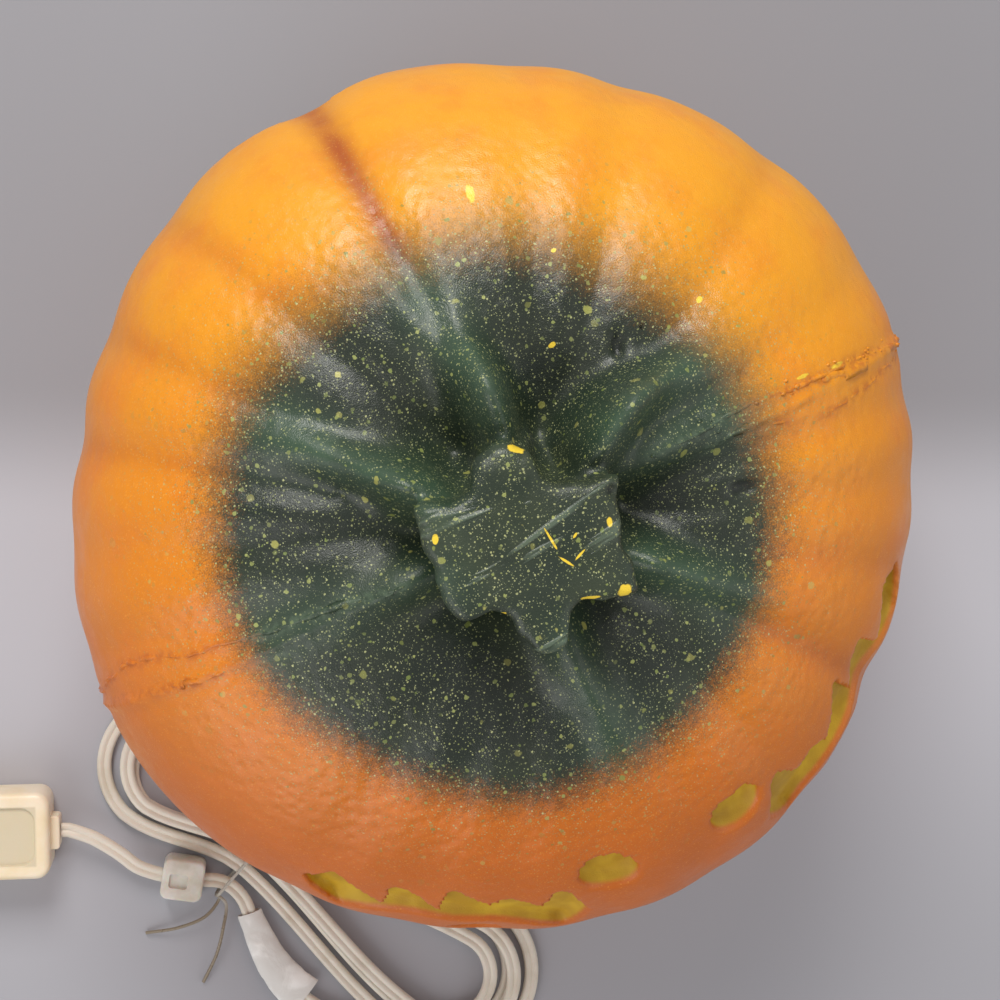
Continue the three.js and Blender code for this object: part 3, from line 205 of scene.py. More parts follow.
# A material built from named nodes on Object coordinates
class Surface:
    def __init__(self, name):
        self.material = bpy.data.materials.new(name)
        self.material.use_nodes = True
        self.tree = self.material.node_tree
        self.shader = self.tree.nodes["Principled BSDF"]
        self.place = self.node("ShaderNodeTexCoord").outputs["Object"]

    def node(self, kind, **settings):
        made = self.tree.nodes.new(kind)
        for key, value in settings.items():
            setattr(made, key, value)
        return made

    def feed(self, socket, value):
        if isinstance(value, bpy.types.NodeSocket):
            self.tree.links.new(value, socket)
        elif value is not None:
            socket.default_value = value

    def set(self, **values):
        for key, value in values.items():
            self.feed(self.shader.inputs[key.replace("_", " ")], value)

    def mapped(self, kind, turned, size=(1, 1, 1), place=(0, 0, 0), at=None):
        made = self.node("ShaderNodeMapping", vector_type=kind)
        self.feed(made.inputs["Vector"], at or self.place)
        made.inputs["Scale"].default_value = size
        made.inputs["Location"].default_value = place
        made.inputs["Rotation"].default_value = (0, 0, math.radians(turned))
        return made.outputs["Vector"]

    def noise(self, scale, detail=2.0, rough=0.5, at=None, warp=0.0):
        made = self.node("ShaderNodeTexNoise")
        for name, given in (("Vector", at or self.place), ("Scale", scale), ("Detail", detail),
                            ("Roughness", rough), ("Distortion", warp)):
            self.feed(made.inputs[name], given)
        return made.outputs["Fac"]

    def swing(self, scale, detail=2.0, rough=0.5):
        return self.math("SUBTRACT", self.noise(scale, detail, rough), 0.5)

    def cells(self, scale, at=None, feature="F1"):
        made = self.node("ShaderNodeTexVoronoi", feature=feature)
        self.feed(made.inputs["Vector"], at or self.place)
        made.inputs["Scale"].default_value = scale
        return made

    def math(self, kind, first, second=None, third=None):
        made = self.node("ShaderNodeMath", operation=kind)
        for socket, value in zip(made.inputs, (first, second, third)):
            self.feed(socket, value)
        return made.outputs[0]

    def times(self, first, *others):
        for other in others:
            first = self.math("MULTIPLY", first, other)
        return first

    def vector(self, kind, first, second=None):
        made = self.node("ShaderNodeVectorMath", operation=kind)
        self.feed(made.inputs[0], first)
        self.feed(made.inputs[1], second)
        return made.outputs["Value"] if kind in ("LENGTH", "DISTANCE", "DOT_PRODUCT") else made.outputs[0]

    def step(self, value, low, high, start=0.0, end=1.0):
        made = self.node("ShaderNodeMapRange", interpolation_type="SMOOTHSTEP")
        for name, given in (("Value", value), ("From Min", low), ("From Max", high),
                            ("To Min", start), ("To Max", end)):
            self.feed(made.inputs[name], given)
        return made.outputs["Result"]

    def blend(self, share, first, second):
        made = self.node("ShaderNodeMix", data_type="RGBA")
        self.feed(made.inputs["Factor"], share)
        for socket, value in ((made.inputs[6], first), (made.inputs[7], second)):
            self.feed(socket, tint(*value) if isinstance(value, tuple) else value)
        return made.outputs[2]

    def mottled(self, first, second, scale, detail=4, rough=0.6, low=0.35, high=0.7, share=1.0):
        return self.blend(self.step(self.noise(scale, detail, rough), low, high, 0, share), first, second)

    def uneven(self, scale, detail, low, high):
        return self.step(self.noise(scale, detail), 0.3, 0.7, low, high)

    def axis(self, name, at=None):
        made = self.node("ShaderNodeSeparateXYZ")
        self.feed(made.inputs[0], at or self.place)
        return made.outputs[name]

    def attribute(self, name):
        return self.node("ShaderNodeAttribute", attribute_name=name).outputs["Fac"]

    # Bumps laid over each other: height, depth in metres, strength
    def bump(self, *layers):
        under = None
        for height, distance, strength in layers:
            made = self.node("ShaderNodeBump")
            made.inputs["Distance"].default_value = distance
            self.feed(made.inputs["Strength"], strength)
            self.feed(made.inputs["Height"], height)
            self.feed(made.inputs["Normal"], under)
            under = made.outputs["Normal"]
        self.feed(self.shader.inputs["Normal"], under)


def wear(target, surface):
    target.data.materials.clear()
    target.data.materials.append(surface.material)


# Lead: one unbroken flat two-wire cord, in metres along the given points of its three stretches
lead = {
    "width": 0.0053, "thickness": 0.0027, "groove": 0.00058, "lobe": 114, "spacing": 0.0024,
    "exit": (0, 0.12565, 0.0317), "above": 0.00005,
}
leadHand = [
    (0, 0.12565, 0.0317), (0, 0.12565, 0.0267), (0, 0.1258, 0.0254), (-0.0018, 0.1266, 0.0162),
    (-0.007, 0.129, 0.0084), (-0.0148, 0.1314, 0.0032), (-0.024, 0.1325, 0.00145),
    (-0.038, 0.13, 0.0014), (-0.055, 0.1225, 0.0014), (-0.072, 0.1115, 0.0014),
    (-0.088, 0.097, 0.0014), (-0.101, 0.0795, 0.0014), (-0.1105, 0.059, 0.0014),
    (-0.1165, 0.037, 0.0014), (-0.119, 0.016, 0.0014),
]
hank = {
    "x": -0.1265, "y": -0.0816, "heading": math.radians(-68.8), "bend": 0.623,
    "pitch": 0.0072, "layer": 0.0034, "lift": 0.002, "liftReach": 0.04,
    "waist": 0.0098, "loop": 0.0242, "left": 0.042, "right": 0.088,
    "stepLeft": 0.003, "stepRight": 0.002, "loops": 3.5, "perLoop": 120, "climbAt": 2, "run": 5 / 24,
}


def hankPlace(along, across, height):
    heading = hank["heading"] + along / hank["bend"]
    start = hank["heading"]
    centre = Vector((hank["x"], hank["y"], 0)) + Vector((-math.sin(start), math.cos(start), 0)) * hank["bend"]
    here = centre + Vector((-math.sin(heading), math.cos(heading), 0)) * (across - hank["bend"])
    return Vector((here.x, here.y, height))


def hankPoint(turns):
    inward = hank["climbAt"] + hank["run"]
    step = 1 - turns if turns < inward else 1 - inward + (turns - inward)
    farRight = hank["right"] + hank["stepRight"] * step
    farLeft = hank["left"] + hank["stepLeft"] * step

    def width(at):
        end = hank["right"] + hank["stepRight"] if at > 0 else hank["left"] + hank["stepLeft"]
        return mix(hank["waist"], hank["loop"], smoothstep(abs(at), 0, end)) + hank["pitch"] * step

    side = 1 if turns % 1 < 0.5 else -1
    half = turns % 0.5
    start, end = (-farLeft, farRight) if side > 0 else (farRight, -farLeft)
    along = mix(start, end, min(half / hank["run"], 1))
    across = side * width(along)
    if half > hank["run"]:
        bend = (half - hank["run"]) / (0.5 - hank["run"]) * math.pi
        radius = width(end)
        along = end + side * radius * math.sin(bend)
        across = side * radius * math.cos(bend)
    lift = hank["lift"] * math.exp(-(along / hank["liftReach"]) ** 2)
    climb = smoothstep(turns, hank["climbAt"], inward)
    return hankPlace(along, across, lead["thickness"] / 2 + lead["above"] + lift + climb * hank["layer"])


hankFine = [hankPoint(i / hank["perLoop"]) for i in range(int(hank["loops"] * hank["perLoop"]) + 1)]
hankStart = hankPlace(-hank["left"] - hank["stepLeft"] - lead["width"], hank["loop"] + hank["pitch"],
                      hankFine[0].z)
firstWay = (hankFine[0] - hankStart).normalized()
lastWay = (hankFine[-1] - hankFine[-3]).normalized()
leadHand += [hankStart - firstWay * 0.0106, hankStart - firstWay * 0.0003]
leadPath = curveThrough(leadHand, lead["spacing"])
plugAt = Vector((-0.187, -0.042, 0.0095))
plugWay = wayAt(152.8)
blockAt = Vector((-0.1578, -0.0793, 0.0055))
blockWay = wayAt(143.5)
tailHand = [
    hankFine[-1] + lastWay * 0.0056, hankFine[-1] + lastWay * 0.0106,
    hankPlace(0.068, -0.0325, 0.0046), hankPlace(0.059, -0.0358, 0.0034), hankPlace(0.049, -0.037, 0.0028),
    hankPlace(0.038, -0.0355, 0.0027), hankPlace(0.027, -0.0315, 0.0027), hankPlace(0.017, -0.026, 0.0027),
    (-0.1429, -0.0972, 0.0032), (-0.1449, -0.09, 0.004), (-0.1476, -0.0865, 0.0049),
    blockAt - blockWay * 0.0075, blockAt + blockWay * 0.0075,
    (-0.1668, -0.0719, 0.0057), (-0.1704, -0.0672, 0.0064), (-0.1726, -0.0615, 0.0072),
    (-0.1754, -0.0556, 0.0081), (-0.1786, -0.05, 0.0089), (-0.1826, -0.0453, 0.0094),
    plugAt - plugWay * 0.0025, plugAt - plugWay * 0.0003,
]
tailPath = curveThrough(tailHand, lead["spacing"])
cordPath = evenly(leadPath + [hankStart] + hankFine + tailPath, lead["spacing"])


# Two round wires side by side with a web between them
def cordSection():
    radius = lead["thickness"] / 2
    offset = lead["width"] / 2 - radius
    lobe = [math.radians(lead["lobe"] * (k / 4 - 1)) for k in range(9)]
    web = radius - lead["groove"]
    half = [(offset + radius * math.cos(a), radius * math.sin(a)) for a in lobe] + [(0, web)]
    return half + [(-x, -y) for x, y in half]


def cordFlats():
    flats, walked = [], 0.0
    for i, p in enumerate(cordPath):
        if i:
            walked += (p - cordPath[i - 1]).length
        flats.append(Vector((0, 1, 0)).lerp(upward, smoothstep(walked, 0.005, 0.045)).normalized())
    return flats


cordMesh = bmesh.new()
sweep(cordMesh, cordPath, cordFlats(), cordSection())
cordNodes = ["cord_lead", "cord_hank", "cord_tail"]
cordRun = finished("cordRun", cordMesh, "lamp_unit", cordNodes, 50)


# Pumpkin body: one hollow moulding of skinned foam, in millimetres until it is finished
body = {
    "width": 276, "depth": 276, "crownRise": 92, "baseDrop": 103, "widest": 95, "fullness": 2.3,
    "dimpleDepth": 24, "dimpleRadius": 38, "wall": 14, "floor": 13,
    "ovality": 0.018, "ovalAt": 47, "squareness": 0.014, "squareAt": 6,
    "grooveWidth": 4.4, "seamAt": (-5, 179), "seamHeight": 0.9, "seamWidth": 0.45, "seamDip": 0.5,
    "wrinkle": 0.9, "swell": 0.7,
    "ridgeStart": 26, "ridgeEnd": 92, "ridgeHalfWidth": 5.6, "ridgeSpread": 0.045,
    "climbFrom": 30, "climbReach": 15,
    "outer": (360, 190), "faceFloor": (160, 80), "hollow": (96, 48), "voxel": 0.00125, "triangles": 170000,
    "smooth": 0.5, "smoothings": 2,
}
grooves = [
    (-147, 1.3), (-132, 1.2), (-119, 1.4), (-104, 1.5), (-88, 1.2), (-72, 1.8), (-53, 4.0),
    (-36, 1.8), (-24, 2.0), (-12, 2.8), (6, 1.6), (26, 2.2), (47, 2.6), (62, 1.6), (89, 3.8),
    (112, 2.2), (129, 2.8), (144, 3.8), (158, 1.8), (172, 2.0),
]
stem = {
    "top": 213, "foot": 150, "lean": (-7, -5), "around": 168, "rings": 34,
    "stages": [(0, 1.5), (0.2, 1.28), (0.36, 1.1), (0.54, 0.94), (0.72, 0.9), (0.86, 0.97), (0.95, 1.0),
               (1, 0.93)],
    "inward": (0.93, 0.84, 0.7, 0.55, 0.4, 0.25, 0.1),
}
# Outline of the stem's cut end: direction and distance from its own middle
cutEnd = [
    (-167, 26.5), (-154, 17.6), (-140, 16.3), (-126, 21), (-112, 26.8), (-99, 26), (-83, 18), (-70, 17.5),
    (-57, 24), (-47, 30), (-34, 27), (-21, 23.4), (5, 25.8), (16, 30.5), (28, 23.1), (44, 19.4), (56, 20.7),
    (68, 28.5), (80, 32), (92, 30), (108, 24.6), (118, 26), (130, 34.6), (144, 30.3), (160, 26), (178, 26.3),
]
# Ridges from the stem over the shoulder: direction at the stem and at the rim, height, climb at the stem
ridges = [
    (137, 134, 12.5, 14), (85, 89, 9.5, 18), (27, 12, 12.5, 18), (2, -1, 7, 8), (-48, -49, 9, 7),
    (-103, -96, 8, 5), (178, 176, 6, 6),
]
# Burst bubbles in the skin: x, y, half-length, half-width, turn in degrees, depth
pits = [
    (43.3, 31.7, 4.2, 2.3, 66, 2.6), (57.7, -21, 6.0, 3.2, -22, 2.4), (19.2, 0.8, 2.3, 1.8, 40, 3.4),
    (-57.5, -32, 2.8, 1.7, 50, 1.5), (72.3, 7.9, 3.6, 3.0, 20, 1.1), (37.7, 56.4, 1.2, 1.0, 0, 1.2),
    (45.4, -2.8, 1.7, 1.0, 10, 1.2), (47.6, 91.9, 3.0, 1.1, -15, 1.3), (31.8, 70.4, 2.4, 1.0, 66, 1.1),
    (-7.5, 121.7, 2.6, 1.1, 10, 1.1), (-84.3, -47.1, 3.6, 0.9, -38, 0.9), (-43.6, 31.2, 1.9, 1.7, 0, 1.7),
    (-66, 58, 1.3, 1.1, 0, 1.0), (88, 36, 1.4, 1.1, 30, 1.0), (-24, -66, 1.2, 1.0, 0, 0.9),
]
bubbleShape = {"around": 20, "rings": 12, "rough": 0.22, "grain": 1400, "proud": 0.0003}


def fade(angle, centre, width):
    apart = (angle - centre + 540) % 360 - 180
    return math.exp(-(apart / width) ** 2)


def reach(angle):
    return (1 + body["ovality"] * math.cos(math.radians(2 * (angle - body["ovalAt"])))
            + body["squareness"] * math.cos(math.radians(4 * (angle - body["squareAt"]))))


def planSpan(direction):
    across = [reach(a) * direction(math.radians(a)) for a in range(360)]
    return max(across) - min(across), (max(across) + min(across)) / 2


grooveAt = {}


def grooveDepth(angle):
    key = round(angle, 2)
    if key not in grooveAt:
        grooveAt[key] = sum(depth * fade(angle, at, body["grooveWidth"]) for at, depth in grooves)
    return grooveAt[key]


spanX, middleX = planSpan(math.cos)
spanY, middleY = planSpan(math.sin)
halfX, halfY = body["width"] / spanX, body["depth"] / spanY


# How near a direction lies to each ridge's crest, from 0 to 1
def ridgeFades(angle, radius, spread=1.0):
    width = (body["ridgeHalfWidth"] + body["ridgeSpread"] * radius) / (math.radians(1) * max(radius, 20))
    along = smoothstep(radius, 28, 75)
    return [fade(angle, mix(inner, outer, along), width * spread) for inner, outer, _, _ in ridges]


# How far the skin stands out or lies in: grooves, ridges, wrinkles and the parting line
def relief(latitude, angle, radius):
    if latitude < -60:
        return 0
    shoulder = smoothstep(latitude, -50, 35)
    nearStem = smoothstep(radius, 24, 70)
    above = 1 - smoothstep(radius, body["ridgeStart"], body["ridgeEnd"]) if latitude > 0 else 0
    groove = grooveDepth(angle)
    ridge = 0
    if above:
        climb = math.exp(-(max(radius - body["climbFrom"], 0) / body["climbReach"]) ** 2)
        ridge = sum((high * above + foot * climb) * near
                    for near, (_, _, high, foot) in zip(ridgeFades(angle, radius), ridges))
    around = math.radians(angle)
    wrinkle = noise.noise(Vector((math.cos(around) * 9, math.sin(around) * 9,
                                  radius * 0.012 + latitude * 0.01)))
    swell = noise.noise(Vector((math.cos(around) * 2.2, math.sin(around) * 2.2, latitude * 0.03 + 7)))
    seam = 0
    for at in body["seamAt"]:
        apart = (angle - at + 540) % 360 - 180
        if abs(apart) < 6 and latitude > -60:
            ragged = 0.75 + 0.9 * noise.noise(Vector((radius * 0.12, at, latitude * 0.05)))
            seam += body["seamHeight"] * ragged * math.exp(-(apart / body["seamWidth"]) ** 2)
            seam -= body["seamDip"] * math.exp(-((abs(apart) - 1.4) / 0.8) ** 2)
    return (ridge + seam - groove * shoulder * nearStem * (0.75 + 0.25 * above)
            + (wrinkle * body["wrinkle"] * above + swell * body["swell"]) * shoulder * nearStem)


def skinPoint(latitude, angle, inset=0.0):
    lat = math.radians(latitude)
    level = math.cos(lat) ** (2 / body["fullness"]) if abs(latitude) < 90 else 0
    tall = abs(math.sin(lat)) ** (2 / body["fullness"])
    out = 0 if inset else relief(latitude, angle, level * body["width"] * 0.5)
    c, s = math.cos(math.radians(angle)), math.sin(math.radians(angle))
    push = (out - inset) * level
    x = (reach(angle) * c - middleX) * halfX * level + push * c
    y = (reach(angle) * s - middleY) * halfY * level + push * s
    radius = math.hypot(x, y)
    dimple = body["dimpleDepth"] * math.exp(-(radius / body["dimpleRadius"]) ** 2)
    rise = ((body["crownRise"] - inset) * tall - dimple if latitude > 0
            else -(body["baseDrop"] - inset) * tall)
    lowest = max(inset, body["floor"]) if inset else 0
    return Vector((x, y, max(body["widest"] + rise + out * tall, lowest)))


# A sphere whose corners are moved out to the skin
def roundSkin(mesh, inset=0.0):
    bm = bmesh.new()
    bmesh.ops.create_uvsphere(bm, u_segments=body[mesh][0], v_segments=body[mesh][1], radius=1)
    for v in bm.verts:
        share = math.degrees(math.asin(clamp(v.co.z, -1, 1))) / 90
        v.co = skinPoint(90 * share, math.degrees(math.atan2(v.co.y, v.co.x)) % 360, inset) * mm
        if abs(share) > 0.9999:
            v.co.x = v.co.y = 0
    return bm


def cutEndReach(angle):
    for (low, first), (high, second) in zip(cutEnd, cutEnd[1:] + [(cutEnd[0][0] + 360, cutEnd[0][1])]):
        at = low + (angle - low) % 360
        if at <= high:
            return mix(first, second, smoothstep(at, low, high))


def stemPoint(angle, at):
    low, high = next(pair for pair in zip(stem["stages"], stem["stages"][1:])
                     if pair[0][0] <= at <= pair[1][0])
    size = mix(low[1], high[1], (at - low[0]) / (high[0] - low[0]))
    c, s = math.cos(math.radians(angle)), math.sin(math.radians(angle))
    rough = (noise.noise(Vector((c * 3, s * 3, at * 2.5))) * 0.9
             + noise.noise(Vector((c * 11, s * 11, at))) * 0.5)
    r = cutEndReach(angle) * size + rough * (0.4 + at)
    lean = smoothstep(at, 0.25, 1)
    return Vector((stem["lean"][0] * lean + r * c, stem["lean"][1] * lean + r * s,
                   mix(stem["foot"], stem["top"], at)))


# Lobed rings extruded up the stem, then drawn in across its cut end
def stemForm():
    angles = [360 * k / stem["around"] for k in range(stem["around"])]
    levels = [[stemPoint(a, i / stem["rings"]) for a in angles] for i in range(stem["rings"] + 1)]
    middle = Vector((stem["lean"][0], stem["lean"][1], stem["top"]))
    for share in stem["inward"]:
        level = []
        for p in levels[stem["rings"]]:
            q = middle.lerp(p, share)
            across = (q.x * 0.5 + q.y * 0.87) * 0.42
            q.z = (stem["top"] + 0.9 * (1 - share ** 4) + 0.5 * noise.noise(q * 0.12)
                   + 0.45 * noise.noise(Vector((across, q.x * 0.03, 3))))
            level.append(q)
        levels.append(level)
    return loft(levels)


# Face: outlines in X and Z from the face's middle and the widest ring, drawn in along Y
face = {
    "depth": 5, "middle": -4.6, "span": (-150, -20), "toolSpan": (-160, -10),
    "eyeInner": 29, "eyeInnerZ": 45, "tooth": 14, "peaks": (58.5, 54, 57, 54, 50.5),
    "dips": (51.5, 50.5, 45.5, 43), "eyeEnd": 101, "eyeEndZ": 37, "eyeBottom": 9,
    "ball": (68, 29, 28, 12), "pupil": (64, 29, 7, 7), "brow": (21, 60.5, 8.6, 5.6),
    "noseZ": 15, "noseHalf": 13, "noseHeight": 22,
    "mouthHalf": 78, "mouthCorner": -11, "mouthTop": -25, "mouthBottom": -59,
    "mouthTooth": (13, 11), "teethTop": (-33, 0, 33), "teethBottom": (-17, 17),
}


# A closed prism of an outline given in X and Z; a tool for another prism is longer
def drawn(outline, tool=False):
    front, back = face["toolSpan"] if tool else face["span"]
    bm = bmesh.new()
    verts = [bm.verts.new((x * mm, front * mm, z * mm)) for x, z in outline]
    made = bmesh.ops.extrude_face_region(bm, geom=[bm.faces.new(verts)])["geom"]
    for v in made:
        if isinstance(v, bmesh.types.BMVert):
            v.co.y = back * mm
    bmesh.ops.recalc_face_normals(bm, faces=bm.faces[:])
    return bm


def bow(start, pull, end, steps=20):
    return [((1 - t) ** 2 * start[0] + 2 * t * (1 - t) * pull[0] + t * t * end[0],
             (1 - t) ** 2 * start[1] + 2 * t * (1 - t) * pull[1] + t * t * end[1])
            for t in (k / steps for k in range(steps + 1))]


def oval(part, side, sides=40):
    x, z, halfWidth, halfHeight = face[part]
    return [(side * x + halfWidth * math.cos(a), z + halfHeight * math.sin(a))
            for a in (2 * math.pi * k / sides for k in range(sides))]


def eyeOutline(side):
    points = [(face["eyeInner"] + 2, face["eyeInnerZ"])]
    for i, peak in enumerate(face["peaks"]):
        x = face["eyeInner"] + face["tooth"] * (i + 0.5)
        points += [(x - 1.5, peak - 0.6), (x + 1, peak)]
        if i < len(face["dips"]):
            points.append((x + face["tooth"] / 2, face["dips"][i]))
    points += [(face["eyeEnd"], face["eyeEndZ"] + 6)]
    pull = 2 * face["eyeBottom"] - (face["eyeEndZ"] + face["eyeInnerZ"]) / 2
    under = bow((face["eyeEnd"], face["eyeEndZ"]), ((face["eyeInner"] + face["eyeEnd"]) / 2, pull), points[0])
    return [(side * x, z) for x, z in points + under[:-1]]


def noseOutline():
    z, half, tall = face["noseZ"], face["noseHalf"], face["noseHeight"] / 2
    return (bow((0, z + tall), (half * 0.75, z), (half, z - tall))[:-1]
            + bow((half, z - tall), (0, z - tall + 4), (-half, z - tall))[:-1]
            + bow((-half, z - tall), (-half * 0.75, z), (0, z + tall))[:-1])


def mouthOutline():
    half, corner = face["mouthHalf"], face["mouthCorner"]
    return (bow((-half, corner), (0, face["mouthBottom"] * 2 - corner), (half, corner), 40)[:-1]
            + bow((half, corner), (0, face["mouthTop"] * 2 - corner - 8), (-half, corner), 40)[:-1])


def toothOutlines():
    width, height = face["mouthTooth"]
    made = []
    for x in face["teethTop"] + face["teethBottom"]:
        share = (x / face["mouthHalf"]) ** 2
        edge = (mix(face["mouthTop"] - 4, face["mouthCorner"], share) if x in face["teethTop"]
                else mix(face["mouthBottom"], face["mouthCorner"], share))
        made.append([(x - width / 2, edge - height), (x + width / 2, edge - height),
                     (x + width / 2, edge + height), (x - width / 2, edge + height)])
    return made


# Puts a modifier on a scratch object and keeps its result
def changed(target, kind, **settings):
    change = target.modifiers.new("change", kind)
    for key, value in settings.items():
        setattr(change, key, value)
    graph = bpy.context.evaluated_depsgraph_get()
    mesh = bpy.data.meshes.new_from_object(target.evaluated_get(graph))
    target.modifiers.clear()
    old, target.data = target.data, mesh
    bpy.data.meshes.remove(old)


# Cuts or joins a scratch object with a bmesh or another scratch object, which is dropped
def cutBy(target, tool, operation="DIFFERENCE"):
    if isinstance(tool, bmesh.types.BMesh):
        tool = hold("tool", tool)
    changed(target, "BOOLEAN", operation=operation, solver="MANIFOLD", object=tool)
    bpy.data.objects.remove(tool, do_unlink=True)


def shifted(bm, x=0.0, y=0.0, z=0.0):
    bmesh.ops.translate(bm, vec=(x * mm, y * mm, z * mm), verts=bm.verts[:])
    return bm


def roundAlongY(radius, start, sides=96):
    end = opening["out"]
    bm = bmesh.new()
    bmesh.ops.create_cone(bm, cap_ends=True, segments=sides, radius1=radius * mm, radius2=radius * mm,
                          depth=(end - start) * mm)
    bmesh.ops.rotate(bm, cent=(0, 0, 0), matrix=Matrix.Rotation(math.pi / 2, 3, "X"), verts=bm.verts[:])
    return shifted(bm, 0, (start + end) / 2, opening["height"])


def boxForm(low, high):
    bm = bmesh.new()
    bmesh.ops.create_cube(bm, size=mm)
    bmesh.ops.scale(bm, vec=[h - l for l, h in zip(low, high)], verts=bm.verts[:])
    return shifted(bm, *[(l + h) / 2 for l, h in zip(low, high)])


# Opening in the back: seat, bore, notch for the hood, and the thicker wall round them
opening = {"height": 78, "seat": 118, "pocket": 40.5, "bore": 32, "boreDepth": 42, "pad": 52, "padWall": 12,
           "notchHalf": 5.5, "notchTop": 46.3, "notchLow": 20.3, "notchSeat": 2, "out": 170}

shell = hold("pumpkin", roundSkin("outer"))
cutBy(shell, stemForm(), "UNION")
outerSkin = BVHTree.FromPolygons([v.co.copy() for v in shell.data.vertices],
                                 [tuple(p.vertices) for p in shell.data.polygons])
print("skin and stem", len(shell.data.vertices))
faceCuts = hold("recess", drawn(mouthOutline()))
for outline in toothOutlines():
    cutBy(faceCuts, drawn(outline, True))
for side in (-1, 1):
    eye = hold("eye", drawn(eyeOutline(side)))
    cutBy(eye, drawn(oval("ball", side), True))
    cutBy(eye, drawn(oval("pupil", side)), "UNION")
    cutBy(faceCuts, eye, "UNION")
    cutBy(faceCuts, drawn(oval("brow", side)), "UNION")
cutBy(faceCuts, drawn(noseOutline()), "UNION")
faceCuts.data.transform(Matrix.Translation((face["middle"] * mm, 0, body["widest"] * mm)))
cutBy(faceCuts, roundSkin("faceFloor", face["depth"]))
cutBy(shell, faceCuts)
hollow = hold("hollow", roundSkin("hollow", body["wall"]))
cutBy(hollow, roundAlongY(opening["pad"], opening["seat"] - opening["padWall"]))
cutBy(shell, hollow)
cutBy(shell, roundAlongY(opening["pocket"], opening["seat"]))
cutBy(shell, roundAlongY(opening["bore"], opening["seat"] - opening["boreDepth"]))
cutBy(shell, boxForm((-opening["notchHalf"], opening["seat"] + opening["notchSeat"], opening["notchLow"]),
                     (opening["notchHalf"], opening["out"], opening["notchTop"])))
print("cut", len(shell.data.vertices))
for x, y, halfLong, halfWide, turned, deep in pits:
    bubble = bmesh.new()
    bmesh.ops.create_uvsphere(bubble, u_segments=bubbleShape["around"], v_segments=bubbleShape["rings"],
                              radius=mm)
    verts = bubble.verts[:]
    for v in verts:
        v.co *= 1 + bubbleShape["rough"] * noise.noise(v.co * bubbleShape["grain"] + Vector((x, y, 0)))
    bmesh.ops.scale(bubble, vec=(halfLong, halfWide, deep), verts=verts)
    top, facing, _, _ = outerSkin.ray_cast(Vector((x * mm, y * mm, 0.3)), -upward)
    tilt = upward.rotation_difference(facing).to_matrix()
    for way in (Matrix.Rotation(math.radians(turned), 3, "Z"), tilt):
        bmesh.ops.rotate(bubble, cent=(0, 0, 0), matrix=way, verts=verts)
    bmesh.ops.translate(bubble, vec=top + facing * bubbleShape["proud"], verts=verts)
    cutBy(shell, bubble)
changed(shell, "REMESH", mode="VOXEL", voxel_size=body["voxel"], adaptivity=0)
print("remeshed", len(shell.data.vertices))
changed(shell, "SMOOTH", factor=body["smooth"], iterations=body["smoothings"])
changed(shell, "DECIMATE", ratio=min(1, body["triangles"] / (2 * len(shell.data.polygons))))
print("shell", len(shell.data.polygons), "faces")

# Grooves painted with shade, a darker and redder orange: direction, share
shadedGrooves = [(89, 1.0), (144, 0.3), (-53, 0.4), (112, 0.25), (129, 0.3), (-36, 0.2), (26, 0.2)]
# Ragged flash along the parting line: latitude and direction of each torn line, its height and width
flashSet = {"crumbs": 26, "seed": 7, "spread": 1.6, "small": 0.3, "large": 0.75, "stretch": (1.9, 1, 0.6),
            "lowest": 0.11, "sink": 0.0004, "spacing": 0.0013, "taper": 14}
flashLines = [
    ([(79, 2), (73, 0), (67, 0), (59, -1.4), (52, -2.6), (44, -3), (34, -4), (18, -5), (-10, -5), (-40, -5)],
     1.1, 1.3),
    ([(51, -9.6), (46, -9.2), (40, -7.8), (32, -7.2), (20, -6.6)], 0.6, 1.5),
    ([(72, -6), (66, -5), (60, -7), (56, -9)], 0.8, 1.2),
    ([(50, -3.6), (45, -3.9), (40, -4.2), (37, -4.6)], 1.4, 2.6),
    ([(77, 179.5), (73, 177.5), (67, 176), (58, 175.6), (50, 175), (43, 175.2), (36, 173.4), (26, 174),
      (12, 177), (-40, 179)], 1.2, 1.5),
    ([(58, 181), (52, 180), (45, 179.4), (38, 178.6), (28, 178), (16, 178.4)], 0.7, 1.2),
]
flash = bmesh.new()
tornPoints = []
crustPoints = 0
for line, height, width in flashLines:
    fine = []
    for (latA, angleA), (latB, angleB) in zip(line, line[1:]):
        steps = max(2, round(abs(latB - latA) * 2.2))
        for k in range(steps):
            lat = mix(latA, latB, k / steps)
            stray = 0.5 * noise.noise(Vector((lat * 0.35, angleA * 0.35, 1.4)))
            fine.append(skinPoint(lat, mix(angleA, angleB, k / steps) + stray) * mm)
    fine = evenly(fine, flashSet["spacing"])
    ups, places = [], []
    for p in fine:
        near, facing, _, _ = outerSkin.find_nearest(p)
        ups.append(facing)
        places.append(near - facing * flashSet["sink"])
    count = len(places)

    def torn(i):
        taper = min(1, flashSet["taper"] * i / count, flashSet["taper"] * (1 - i / count))
        rag = 0.7 + 0.8 * noise.noise(places[i] * 230) + 0.5 * noise.noise(places[i] * 800)
        tall = height * taper * clamp(rag, 0.3, 1.5)
        lean = 0.5 * noise.noise(places[i] * 120 + Vector((3, 1, 2)))
        base = width * taper * (0.9 + 0.5 * noise.noise(places[i] * 180 + Vector((7, 7, 7)))) + 0.15
        return [(-base * mm, -0.0004), (base * mm, -0.0004), ((0.3 * base + lean) * mm, tall * 0.6 * mm),
                (lean * mm, tall * mm), ((lean - 0.4 * base) * mm, tall * 0.5 * mm)]

    sweep(flash, places, ups, torn)
    tornPoints += places
    crustPoints = crustPoints or len(places) // 2
crumbs = random.Random(flashSet["seed"])
